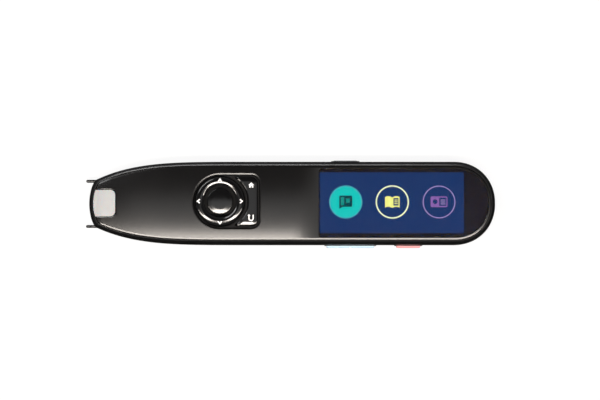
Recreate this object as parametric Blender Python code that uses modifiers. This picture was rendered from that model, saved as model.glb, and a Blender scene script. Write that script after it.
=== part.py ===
"""Hand-held scanning pen: a slim reader that is drawn along a printed line, nose first.

The pen lies on its back. X runs from the nose to the tail, Z points out of the face that carries the
screen, and Z = 0 is the flat back. All lengths are in metres.
"""

import math

import bmesh
import bpy
from mathutils import Matrix, Vector

# Case outline, seen from above
PANEL_WIDTH = 0.0236
PANEL_GAP = 0.0001
GLASS_LEDGE = 0.00055
PLATE_RIM = 0.0006
PLATE_GAP = 0.00015
SHOULDER = 0.0018
NOSE_HALF_WIDTH = 0.00735
TAPER_LENGTH = 0.0594
TAPER_POWER = 4.2
NOSE_CAP = 0.0027
NOSE_CAP_POWER = 2.0
TAIL_CAP = 0.0148
TAIL_CAP_POWER = 2.1

# Stack of pieces under the glass, from the floor up; it sets the height of the case
FLOOR = 0.0014
SEAT_GAP = 0.0002
BATTERY_THICKNESS = 0.0040
BATTERY_AIR = 0.0007
BOARD_THICKNESS = 0.0008
COMPONENT_SPACE = 0.0019
BACKLIGHT_THICKNESS = 0.0009
PANEL_THICKNESS = 0.0009
GLASS_THICKNESS = 0.0008

# Case walls and edges
WALL = 0.0015
BACK_ROUND = 0.0034
BACK_RISE = 0.0044
SHOULDER_DROP = 0.0042
RIM_LAND = 0.0003
RIM_STEP = 0.0001
RIM_LIP = 0.0020
RIM_LEAN = 0.0012
INNER_RISE = 0.0020
INNER_CORNER = 0.0007
PLATE_THICKNESS = 0.0017
PLATE_EDGE_ROUND = 0.0005
SKIRT = 0.0008
SKIRT_DEPTH = 0.0019
CROWN = 0.0008
CROWN_FADE = 0.0075
NOSE_HEIGHT_SHARE = 0.72
NOSE_SLOPE_LENGTH = 0.0325
CUT_OVERRUN = 0.0010

# Case screws and their posts
NOSE_POST_FROM_NOSE = 0.0285
NOSE_POST_SPREAD = 0.0095
TAIL_POST_FROM_TAIL = 0.0064
TAIL_POST_SPREAD = 0.0074
POST_RADIUS = 0.0021
SCREW_SHANK_RADIUS = 0.0007
SCREW_HEAD_RADIUS = 0.0013
SCREW_HEAD_HEIGHT = 0.0010
SCREW_SUNK = 0.0003
SCREW_REACH = 0.0024
SCREW_DRIVE_DEPTH = 0.0005
SCREW_DRIVE_RADIUS = 0.0006
SCREW_GAP = 0.00015
HEAD_GAP = 0.0003

# Screen
DISPLAY_LENGTH = 0.0522
DISPLAY_FROM_TAIL = 0.0109
LABEL_STRIP = 0.02095
PANEL_MARGIN = 0.0001
PANEL_TAIL_MARGIN = 0.0003
GLASS_LEAD = 0.0004
GLASS_GAP = 0.0001
GLASS_CORNER = 0.0010
RIBBON_WIDTH = 0.0100
RIBBON_THICKNESS = 0.0002
RIBBON_REACH = 0.0016

# Key cluster
NAV_FROM_NOSE = 0.0475
NAV_OFFSET = 0.00055
POD_RADIUS = 0.0099
POD_REACH = 0.01445
POD_CORNER = 0.0032
FRAME_GAP = 0.00015
FRAME_WALL = 0.0005
FRAME_FLANGE = 0.0010
FRAME_FLANGE_THICKNESS = 0.0007
RING_OUTER = 0.0088
RING_INNER = 0.0057
RING_CREST = 0.0071
RING_TILT_GAP = 0.0003
RING_RISE = 0.0012
RING_THICKNESS = 0.0027
BUTTON_RADIUS = 0.00465
BUTTON_DOME = 0.00075
BUTTON_RISE = 0.0010
BUTTON_THICKNESS = 0.0024
BUTTON_STEM_RADIUS = 0.0015
COLLAR_INNER = 0.0059
COLLAR_OUTER = 0.0085
COLLAR_THICKNESS = 0.0008
COLLAR_AIR = 0.0005
NUB_ORBIT = 0.0072
NUB_RADIUS = 0.0009
KEY_GAP = 0.0002
KEY_ROUND = 0.0004
ROCKER_RISE = 0.0006
ROCKER_THICKNESS = 0.0020
ROCKER_STEM_SPREAD = 0.0059
ROCKER_STEM_BACK = 0.0030
ROCKER_STEM_RADIUS = 0.0012
ROCKER_TIP_BACK = 0.0008
ROCKER_HOLLOW = 0.0100
KEY_AIR = 0.0004
MAT_THICKNESS = 0.0005
MAT_INSET = 0.0004
DOME_HEIGHT = 0.00035
DOME_AIR = 0.00015
DOME_RADIUS = 0.0018

# Side keys: the long rocker and the small key on one side, one small key on the other
VOLUME_LENGTH = 0.0172
VOLUME_FROM_DISPLAY = 0.0110
POWER_LENGTH = 0.0086
POWER_FROM_DISPLAY = 0.0319
RECORD_LENGTH = 0.0088
RECORD_FROM_DISPLAY = 0.0092
SIDE_KEY_HEIGHT = 0.0030
SIDE_KEY_PROUD = 0.0010
RECORD_PROUD = 0.0005
SIDE_KEY_ROUND = 0.0004
SEAT_PROUD = 0.0003
SEAT_WALL = 0.0005
SEAT_INWARD = 0.0010
FLANGE_THICKNESS = 0.0006
FLANGE_AIR = 0.0003
FLANGE_LIP = 0.0005
SWITCH_LENGTH = 0.0035
SWITCH_DEPTH = 0.0018
SWITCH_HEIGHT = 0.0016
SWITCH_AIR = 0.0004
VOLUME_SWITCH_SPREAD = 0.0058

# Nose: window, scanning aperture, nib foot
WINDOW_LENGTH = 0.0077
WINDOW_HALF_WIDTH = 0.00486
WINDOW_CORNER = 0.0020
WINDOW_GAP = 0.0001
WINDOW_DEPTH = 0.0024
APERTURE_HALF_WIDTH = 0.0047
APERTURE_BOTTOM = 0.0020
APERTURE_HEIGHT = 0.0042
SCAN_WINDOW_THICKNESS = 0.0007
SCAN_WINDOW_RECESS = 0.0010
PRONG_REACH = 0.0013
PRONG_SPREAD = 0.0082
PRONG_WIDTH = 0.0010
PRONG_HEIGHT = 0.0022
PRONG_TIP_ROUND = 0.00035
FOOT_BASE = 0.0017
FOOT_BAR_FROM_NOSE = 0.0140
FOOT_BAR_DEPTH = 0.0030
FOOT_BAR_THICKNESS = 0.0006
FOOT_TRAVEL = 0.0008
FOOT_GAP = 0.0002
LUG_SPREAD = 0.0058
LUG_WIDTH = 0.0026
LUG_HEIGHT = 0.0027
LUG_DEPTH = 0.0012
SPRING_LENGTH = 0.0052
SPRING_RADIUS = 0.0009
SPRING_WIRE = 0.0002
SPRING_TURNS = 6
RIB_DEPTH = 0.0010
TIP_SWITCH_LENGTH = 0.0036
PLUNGER_RADIUS = 0.0004
PLUNGER_AIR = 0.0009

# Camera and lamps
CAMERA_AIR = 0.0003
BARREL_RADIUS = 0.0021
BARREL_BORE = 0.0016
BARREL_LENGTH = 0.0075
CAMERA_BEHIND_FOOT = 0.0010
LENS_THICKNESS = 0.0012
LENS_GAP = 0.0001
SENSOR_SIDE = 0.0020
SENSOR_THICKNESS = 0.0006
SENSOR_BOARD_HALF_WIDTH = 0.0046
SENSOR_BOARD_THICKNESS = 0.0008
SENSOR_BOARD_TOP = 0.0012
LED_BOARD_LENGTH = 0.0030
LED_BOARD_HALF_WIDTH = 0.0045
LED_BOARD_THICKNESS = 0.0006
LED_SIDE = 0.0014
LED_HEIGHT = 0.0007
LED_SPREAD = 0.0028

# Electronics
BOARD_FROM_NOSE = 0.0330
BOARD_INSET = 0.0028
BOARD_TAIL_AIR = 0.0036
BATTERY_SHORTER = 0.0106
BATTERY_HALF_WIDTH = 0.0096
BATTERY_ROUND = 0.0012
PROTECTOR_LENGTH = 0.0028
PROTECTOR_THICKNESS = 0.0012
LEAD_RADIUS = 0.0004
LEAD_SPREAD = 0.0011
SOCKET_LENGTH = 0.0034
SOCKET_HALF_WIDTH = 0.0026
SOCKET_HEIGHT = 0.0018
CAN_LENGTH = 0.0240
CAN_HALF_WIDTH = 0.0080
CAN_HEIGHT = 0.0014
CAN_WALL = 0.0002
CHIP_SIDE = 0.0100
CHIP_HEIGHT = 0.0008
MEMORY_LENGTH = 0.0080
CHIP_AIR = 0.0020
SPEAKER_LENGTH = 0.0160
SPEAKER_HALF_WIDTH = 0.0055
SPEAKER_HEIGHT = 0.0032
SPEAKER_ROUND = 0.0010
SPEAKER_FROM_NOSE = 0.0440
MESH_THICKNESS = 0.0003
MESH_HALF_WIDTH = 0.0045
MESH_LENGTH = 0.0130
GRILLE_HOLE_RADIUS = 0.0006
GRILLE_PITCH = 0.0020
GRILLE_ROWS = 3
GRILLE_COLUMNS = 5
MICROPHONE_FROM_TAIL = 0.0120
MICROPHONE_OFFSET = 0.0060
MICROPHONE_LENGTH = 0.0030
MICROPHONE_WIDTH = 0.0020
MICROPHONE_HEIGHT = 0.0010
MICROPHONE_HOLE_RADIUS = 0.0005
PILLAR_RADIUS = 0.0012
PILLAR_SPREAD = 0.0098
FRONT_PILLAR_FROM_NOSE = 0.0370
REAR_PILLAR_FROM_NOSE = 0.0740

# Charging socket in the tail
USB_HALF_WIDTH = 0.00447
USB_HEIGHT = 0.0032
USB_LENGTH = 0.0074
USB_WALL = 0.0003
USB_RECESS = 0.0006
USB_GAP = 0.00015
TONGUE_HALF_WIDTH = 0.0031
TONGUE_THICKNESS = 0.0007
TONGUE_SETBACK = 0.0012

# How finely round shapes are drawn
NOSE_CAP_STEPS = 4
TAPER_STEPS = 6
TAIL_CAP_STEPS = 6
EDGE_STEPS = 3
CAP_START_ANGLE = math.radians(20)
TAIL_START_ANGLE = math.radians(8)
TAPER_STATION_SHARES = (0.12, 0.26, 0.42, 0.62, 0.80)
CROWN_COLUMN_SHARES = (0.75, 0.4, 0.0, -0.4, -0.75)
FADE_STATION_SHARES = (0.0, 0.33, 0.67, 1.0)
ROUND_SIDES = 32
SMALL_SIDES = 16
TINY_SIDES = 8
MERGE_REACH = 0.00001
CORNER_STEPS = 4
POINTS_PER_CURL = 10
LEAD_STEPS = 6

# Profiles of the turned pieces, as (share of the radius, share of the drop) from the top down
RING_DROP_SHARE = 0.45
RING_OUTER_SHARES = ((0.0, 0.0), (0.5, 0.16), (0.85, 0.55), (1.0, 1.0))
RING_INNER_SHARES = ((1.0, 0.8), (0.6, 0.22))
BUTTON_DOME_SHARES = ((0.0, 0.0), (0.5, 0.17), (0.85, 0.5), (1.0, 1.0))
SNAP_DOME_SHARES = ((0.0, 0.0), (0.6, 0.3), (1.0, 1.0))
SCREW_TIP_SHARE = 0.4
SCREW_DRIVE_SHARE = 0.8
PROTECTOR_WIDTH_SHARE = 0.8
SEAT_ROUND_SHARE = 0.8

# Places that follow from the sizes above
BODY_LENGTH = NAV_FROM_NOSE + POD_REACH + LABEL_STRIP + GLASS_LEAD + DISPLAY_LENGTH + DISPLAY_FROM_TAIL
BODY_HALF = PANEL_WIDTH / 2 + PANEL_GAP + GLASS_LEDGE + PLATE_RIM + PLATE_GAP + SHOULDER
NOSE_X = PRONG_REACH - (BODY_LENGTH + PRONG_REACH) / 2
TAIL_X = NOSE_X + BODY_LENGTH
PLATE_INSET = SHOULDER + PLATE_GAP
POCKET_INSET = PLATE_INSET + PLATE_RIM
GLASS_INSET = POCKET_INSET + GLASS_GAP

BATTERY_LENGTH = DISPLAY_LENGTH - BATTERY_SHORTER
BATTERY_Z = FLOOR + SEAT_GAP
BOARD_Z = BATTERY_Z + BATTERY_THICKNESS + BATTERY_AIR
BOARD_TOP = BOARD_Z + BOARD_THICKNESS
BACKLIGHT_Z = BOARD_TOP + COMPONENT_SPACE
PANEL_Z = BACKLIGHT_Z + BACKLIGHT_THICKNESS + SEAT_GAP
GLASS_Z = PANEL_Z + PANEL_THICKNESS + SEAT_GAP
FACE_Z = GLASS_Z + GLASS_THICKNESS
PLATE_UNDER = FACE_Z - PLATE_THICKNESS
PLATE_EDGE_Z = FACE_Z - PLATE_EDGE_ROUND
RIM_Z = PLATE_EDGE_Z - RIM_STEP
SKIRT_Z = PLATE_UNDER - SKIRT_DEPTH

DISPLAY_END = TAIL_X - DISPLAY_FROM_TAIL
DISPLAY_START = DISPLAY_END - DISPLAY_LENGTH
DISPLAY_CENTRE = (DISPLAY_START + DISPLAY_END) / 2
GLASS_START = DISPLAY_START - GLASS_LEAD

NAV_CENTRE = Vector((NOSE_X + NAV_FROM_NOSE, NAV_OFFSET, 0))
POD_END = NAV_CENTRE.x + POD_REACH
FRAME_TOP = FACE_Z
MAT_Z = BOARD_TOP + DOME_HEIGHT + DOME_AIR
MAT_TOP = MAT_Z + MAT_THICKNESS
STEM_Z = MAT_TOP + KEY_AIR
RING_TOP = FACE_Z + RING_RISE
RING_Z = RING_TOP - RING_THICKNESS
COLLAR_TOP = RING_Z - COLLAR_AIR
COLLAR_Z = COLLAR_TOP - COLLAR_THICKNESS
RING_PIVOT_Z = (RING_Z + COLLAR_TOP) / 2
FRAME_HOLE = RING_OUTER + RING_TILT_GAP
BUTTON_TOP = FACE_Z + BUTTON_RISE
BUTTON_Z = BUTTON_TOP - BUTTON_THICKNESS
ROCKER_TOP = FACE_Z + ROCKER_RISE
ROCKER_Z = ROCKER_TOP - ROCKER_THICKNESS
ROCKER_INSET = FRAME_GAP + FRAME_WALL + KEY_GAP
ROCKER_STEM_X = POD_END - ROCKER_STEM_BACK

SWITCH_Z = BOARD_Z - SEAT_GAP - SWITCH_HEIGHT
SIDE_KEY_Z = SWITCH_Z + SWITCH_HEIGHT / 2
FLANGE_Y = BODY_HALF - WALL - FLANGE_AIR
SWITCH_Y = FLANGE_Y - FLANGE_THICKNESS - SWITCH_AIR

FOOT_BAR_X = NOSE_X + FOOT_BAR_FROM_NOSE
FOOT_BACK_X = FOOT_BAR_X + FOOT_BAR_DEPTH
SPRING_RIB_X = FOOT_BACK_X + SPRING_LENGTH + SEAT_GAP
SWITCH_RIB_X = FOOT_BACK_X + PLUNGER_AIR + PLUNGER_RADIUS + TIP_SWITCH_LENGTH + SEAT_GAP
LUG_Z = FOOT_BASE + LUG_HEIGHT / 2
CAMERA_Z = FOOT_BASE + FOOT_BAR_THICKNESS + CAMERA_AIR + BARREL_RADIUS
BARREL_X = FOOT_BACK_X + CAMERA_BEHIND_FOOT
SENSOR_BOARD_X = BARREL_X + BARREL_LENGTH + SEAT_GAP
WINDOW_X = NOSE_X + PLATE_INSET

MESH_Z = FLOOR + SEAT_GAP
SPEAKER_Z = MESH_Z + MESH_THICKNESS + SEAT_GAP
SPEAKER_X = NOSE_X + SPEAKER_FROM_NOSE
MICROPHONE_X = TAIL_X - MICROPHONE_FROM_TAIL
POST_TOP = BOARD_TOP
USB_Z = BOARD_Z - SEAT_GAP - USB_HEIGHT / 2
USB_MOUTH = TAIL_X - USB_RECESS
FOOT_TIP = NOSE_X - PRONG_REACH

UP = Vector((0, 0, 1))
POST_PLACES = [
    (NOSE_X + NOSE_POST_FROM_NOSE, NOSE_POST_SPREAD),
    (NOSE_X + NOSE_POST_FROM_NOSE, -NOSE_POST_SPREAD),
    (TAIL_X - TAIL_POST_FROM_TAIL, TAIL_POST_SPREAD),
    (TAIL_X - TAIL_POST_FROM_TAIL, -TAIL_POST_SPREAD),
]

for old in list(bpy.data.objects):
    bpy.data.objects.remove(old)

PARTS = bpy.data.collections.new("scanning_pen")
CUTTERS = bpy.data.collections.new("cutters")
for group in (PARTS, CUTTERS):
    bpy.context.scene.collection.children.link(group)


def finish(name, colour, roughness, metallic=0.0, alpha=1.0):
    """A Principled material with one colour, roughness and metallic value."""
    made = bpy.data.materials.new(name)
    made.use_nodes = True
    shader = made.node_tree.nodes["Principled BSDF"]
    shader.inputs["Base Color"].default_value = (*colour, 1.0)
    shader.inputs["Roughness"].default_value = roughness
    shader.inputs["Metallic"].default_value = metallic
    shader.inputs["Alpha"].default_value = alpha
    made.diffuse_color = (*colour, alpha)
    return made


SATIN_BLACK = finish("satin_black_abs", (0.012, 0.012, 0.013), 0.38)
GLOSS_BLACK = finish("gloss_black_abs", (0.010, 0.010, 0.011), 0.10)
KEY_BLACK = finish("key_black_abs", (0.014, 0.014, 0.015), 0.16)
FROSTED = finish("frosted_acrylic", (0.82, 0.82, 0.83), 0.25)
CLEAR = finish("clear_acrylic", (0.80, 0.85, 0.88), 0.05, alpha=0.35)
COVER_GLASS = finish("cover_glass", (0.03, 0.03, 0.035), 0.04, alpha=0.5)
SCREEN_NAVY = finish("screen_navy", (0.014, 0.036, 0.13), 0.30)
WHITE_FILM = finish("white_film", (0.75, 0.76, 0.78), 0.45)
KEY_BLUE = finish("pale_blue_abs", (0.52, 0.69, 0.84), 0.28)
KEY_RED = finish("coral_red_abs", (0.80, 0.31, 0.32), 0.28)
KEY_NAVY = finish("dark_blue_abs", (0.030, 0.036, 0.060), 0.28)
SILICONE = finish("grey_silicone", (0.20, 0.20, 0.21), 0.70)
BOARD_GREEN = finish("solder_mask_green", (0.01, 0.12, 0.05), 0.40)
STEEL = finish("stainless_steel", (0.58, 0.57, 0.55), 0.30, 1.0)
CHIP_BLACK = finish("moulding_compound", (0.02, 0.02, 0.02), 0.55)
FOIL_SILVER = finish("pouch_foil", (0.55, 0.56, 0.58), 0.40, 0.6)
KAPTON = finish("amber_film", (0.45, 0.20, 0.02), 0.35)
LENS_GLASS = finish("lens_glass", (0.35, 0.42, 0.50), 0.03, alpha=0.5)
LED_YELLOW = finish("phosphor_yellow", (0.85, 0.72, 0.20), 0.35)
WIRE_RED = finish("red_insulation", (0.45, 0.01, 0.01), 0.45)
WIRE_BLACK = finish("black_insulation", (0.015, 0.015, 0.015), 0.45)


def keep(name, mesh, material, origin=(0, 0, 0), group=None):
    """Puts a mesh drawn in place into the scene, with its object's origin at the given point."""
    mesh.transform(Matrix.Translation(-Vector(origin)))
    made = bpy.data.objects.new(name, mesh)
    made.location = origin
    (group or PARTS).objects.link(made)
    if material is not None:
        mesh.materials.append(material)
        mesh.shade_smooth()
        mesh.set_sharp_from_angle(angle=math.radians(35))
    return made


def mesh_of(bm, name="shape"):
    """Turns a bmesh into a mesh whose faces point outwards."""
    bmesh.ops.recalc_face_normals(bm, faces=bm.faces)
    made = bpy.data.meshes.new(name)
    bm.to_mesh(made)
    bm.free()
    return made


def box(low, high, edge_round=0.0, segments=2):
    """A box between two corners, with all its edges rounded if a radius is given."""
    bm = bmesh.new()
    bmesh.ops.create_cube(bm, size=1.0)
    size = Vector(high) - Vector(low)
    middle = (Vector(high) + Vector(low)) / 2
    placed = Matrix.Translation(middle) @ Matrix.Diagonal((*size, 1.0))
    bmesh.ops.transform(bm, matrix=placed, verts=bm.verts)
    if edge_round:
        bmesh.ops.bevel(bm, geom=bm.edges, offset=edge_round, segments=segments, profile=0.5, affect="EDGES")
    return mesh_of(bm)


def centred_box(x, y, z_low, length, half_width, height, edge_round=0.0):
    """A box centred on x and y that stands on z_low."""
    low = (x - length / 2, y - half_width, z_low)
    high = (x + length / 2, y + half_width, z_low + height)
    return box(low, high, edge_round)


def rod(start, axis, radius, length, sides=SMALL_SIDES, end_radius=None):
    """A cylinder, or a cone, that runs from start along an axis."""
    bm = bmesh.new()
    tip = radius if end_radius is None else end_radius
    bmesh.ops.create_cone(bm, cap_ends=True, segments=sides, radius1=radius, radius2=tip, depth=length)
    turn = Vector(axis).to_track_quat("Z", "Y").to_matrix().to_4x4()
    centre = Vector(start) + Vector(axis).normalized() * length / 2
    bmesh.ops.transform(bm, matrix=Matrix.Translation(centre) @ turn, verts=bm.verts)
    return mesh_of(bm)


def prism(points, z_low, z_high, top_round=0.0, segments=2):
    """A flat outline in X and Y made solid between two heights, its top edge rounded if asked."""
    bm = bmesh.new()
    base = bm.faces.new([bm.verts.new((x, y, z_low)) for x, y in points])
    grown = bmesh.ops.extrude_face_region(bm, geom=[base])
    raised = [v for v in grown["geom"] if isinstance(v, bmesh.types.BMVert)]
    bmesh.ops.translate(bm, verts=raised, vec=(0, 0, z_high - z_low))
    if top_round:
        top = set(raised)
        edges = [e for e in bm.edges if e.verts[0] in top and e.verts[1] in top]
        bmesh.ops.bevel(bm, geom=edges, offset=top_round, segments=segments, profile=0.5, affect="EDGES")
    return mesh_of(bm)


def arc(centre, radius, start, end, steps):
    """Points along a circle's arc in X and Y, both ends included."""
    turns = [start + (end - start) * i / steps for i in range(steps + 1)]
    return [(centre[0] + radius * math.cos(a), centre[1] + radius * math.sin(a)) for a in turns]


def turned(name, profile, material, origin, sides=ROUND_SIDES, closed=False):
    """A turned piece: a profile of (radius, height) points swept round Z by a Screw modifier."""
    mesh = bpy.data.meshes.new(name)
    points = [(r, 0, z - origin[2]) for r, z in profile]
    edges = [(i, i + 1) for i in range(len(points) - 1)]
    if closed:
        edges.append((len(points) - 1, 0))
    mesh.from_pydata(points, edges, [])
    made = bpy.data.objects.new(name, mesh)
    made.location = origin
    PARTS.objects.link(made)
    mesh.materials.append(material)
    screw = made.modifiers.new("turn", "SCREW")
    screw.axis = "Z"
    screw.steps = sides
    screw.render_steps = sides
    screw.use_merge_vertices = True
    screw.merge_threshold = MERGE_REACH
    screw.use_smooth_shade = True
    return made


def join(meshes):
    """Several separate closed meshes as one mesh, for a cutter or a shape made of parts that don't touch."""
    bm = bmesh.new()
    for mesh in meshes:
        bm.from_mesh(mesh)
    return mesh_of(bm)


def boolean(target, mesh, operation):
    """Adds one Boolean modifier whose operand goes in the cutters' collection."""
    operand = keep(f"{target.name}_{operation.lower()}", mesh, None, group=CUTTERS)
    operand.hide_render = True
    operand.display_type = "WIRE"
    step = target.modifiers.new(operation.lower(), "BOOLEAN")
    step.operation = operation
    step.object = operand
    return target


def cut(target, *meshes):
    for mesh in meshes:
        boolean(target, mesh, "DIFFERENCE")
    return target


def add(target, *meshes):
    for mesh in meshes:
        boolean(target, mesh, "UNION")
    return target


def side_half(x):
    """Half the body's width at x, before the nose and tail are rounded off, and how it leans there."""
    left = max(0.0, 1.0 - (x - NOSE_X) / TAPER_LENGTH)
    narrowing = BODY_HALF - NOSE_HALF_WIDTH
    slope = narrowing * TAPER_POWER * left ** (TAPER_POWER - 1) / TAPER_LENGTH
    return BODY_HALF - narrowing * left**TAPER_POWER, math.sqrt(1 + slope * slope)


def cap_station(angle, start_angle, power):
    """Share of a cap's length and of its width at an angle round the end of the body."""
    along = math.cos(angle) ** (2 / power) / math.cos(start_angle) ** (2 / power)
    return 1 - along, math.sin(angle) ** (2 / power)


def stations(inset):
    """(x, half width) pairs from nose to tail along the outline, moved inwards by inset."""
    places = []
    for i in range(NOSE_CAP_STEPS + 1):
        angle = CAP_START_ANGLE + (math.pi / 2 - CAP_START_ANGLE) * i / NOSE_CAP_STEPS
        along, wide = cap_station(angle, CAP_START_ANGLE, NOSE_CAP_POWER)
        places.append((NOSE_X + inset + NOSE_CAP * along, wide))
    taper_start = NOSE_X + inset + NOSE_CAP
    taper_run = NOSE_X + TAPER_LENGTH - taper_start
    places += [(taper_start + taper_run * share, 1.0) for share in TAPER_STATION_SHARES]
    places += [(GLASS_START - CROWN_FADE * (1 - share), 1.0) for share in FADE_STATION_SHARES]
    for i in range(TAIL_CAP_STEPS, -1, -1):
        angle = TAIL_START_ANGLE + (math.pi / 2 - TAIL_START_ANGLE) * i / TAIL_CAP_STEPS
        along, wide = cap_station(angle, TAIL_START_ANGLE, TAIL_CAP_POWER)
        places.append((TAIL_X - inset - (TAIL_CAP - inset) * along, wide))
    found = []
    for x, wide in places:
        half, lean = side_half(x)
        found.append((x, (half - inset * lean) * wide))
    return found


def height_share(x):
    """The nose is slimmer than the body: every height of the case is scaled by this share."""
    left = max(0.0, 1.0 - (x - NOSE_X) / NOSE_SLOPE_LENGTH)
    return 1 - (1 - NOSE_HEIGHT_SHARE) * left * left


def ease(share):
    """A smooth step from 0 to 1, held at both ends."""
    held = min(1.0, max(0.0, share))
    return held * held * (3 - 2 * held)


def crown_at(x, start):
    """Rise of the face's middle above its edges: none at the tip and the glass, less where it is narrow."""
    narrow = side_half(x)[0] / BODY_HALF
    return CROWN * narrow * narrow * ease((x - start) / NOSE_CAP) * ease((GLASS_START - x) / CROWN_FADE)


def loft(rings, crowned=False):
    """Skins outlines of different inset and height, and closes both ends from side to side.

    rings is a list of (inset, height). The first end gets the face's crown if crowned is set.
    """
    bm = bmesh.new()
    rows = []
    for inset, z in rings:
        outline = stations(inset)
        left = [bm.verts.new((x, w, z * height_share(x))) for x, w in outline]
        right = [bm.verts.new((x, -w, z * height_share(x))) for x, w in outline]
        rows.append((left, right))
    between = []
    if crowned:
        inset, z = rings[0]
        outline = stations(inset)
        for share in CROWN_COLUMN_SHARES:
            column = []
            for x, w in outline:
                rise = crown_at(x, outline[0][0]) * (1 - share * share)
                column.append(bm.verts.new((x, w * share, (z + rise) * height_share(x))))
            between.append(column)
    for columns in ([rows[0][0], *between, rows[0][1]], rows[-1]):
        for one, other in zip(columns, columns[1:]):
            for i in range(len(one) - 1):
                bm.faces.new((one[i], one[i + 1], other[i + 1], other[i]))
    extra = between
    for upper, lower in zip(rows, rows[1:]):
        for up, down in zip(upper, lower):
            for i in range(len(up) - 1):
                bm.faces.new((up[i], up[i + 1], down[i + 1], down[i]))
        for end in (0, -1):
            across = [column[end] for column in (upper[0], *extra, upper[1])]
            bm.faces.new(across + [lower[1][end], lower[0][end]])
        extra = []
    return mesh_of(bm)


def contour(inset, x_low, x_high, corner=0.0):
    """The outline moved inwards by inset, between two cuts across it, as (x, y) points."""
    inner = [(x, w) for x, w in stations(inset) if x_low < x < x_high]
    half, lean = side_half(x_low)
    left_half = half - inset * lean
    upper = []
    if corner:
        turn = arc((x_low + corner, left_half - corner), corner, math.pi, math.pi / 2, CORNER_STEPS)
        upper += turn
        inner = [(x, w) for x, w in inner if x > x_low + corner]
    else:
        upper.append((x_low, left_half))
    upper += inner
    if x_high < TAIL_X - inset:
        upper.append((x_high, inner[-1][1]))
    return upper + [(x, -y) for x, y in reversed(upper)]


def pod_outline(grow):
    """The key cluster's outline: a half circle towards the nose, a rounded block towards the screen."""
    radius = POD_RADIUS + grow
    corner = POD_CORNER + grow
    centre_x = POD_END + grow - corner
    centre_y = radius - corner
    across = NAV_CENTRE.y
    points = arc((NAV_CENTRE.x, across), radius, math.pi / 2, 1.5 * math.pi, ROUND_SIDES // 2)
    points += arc((centre_x, across - centre_y), corner, -math.pi / 2, 0, CORNER_STEPS)
    points += arc((centre_x, across + centre_y), corner, 0, math.pi / 2, CORNER_STEPS)
    return points


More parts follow.
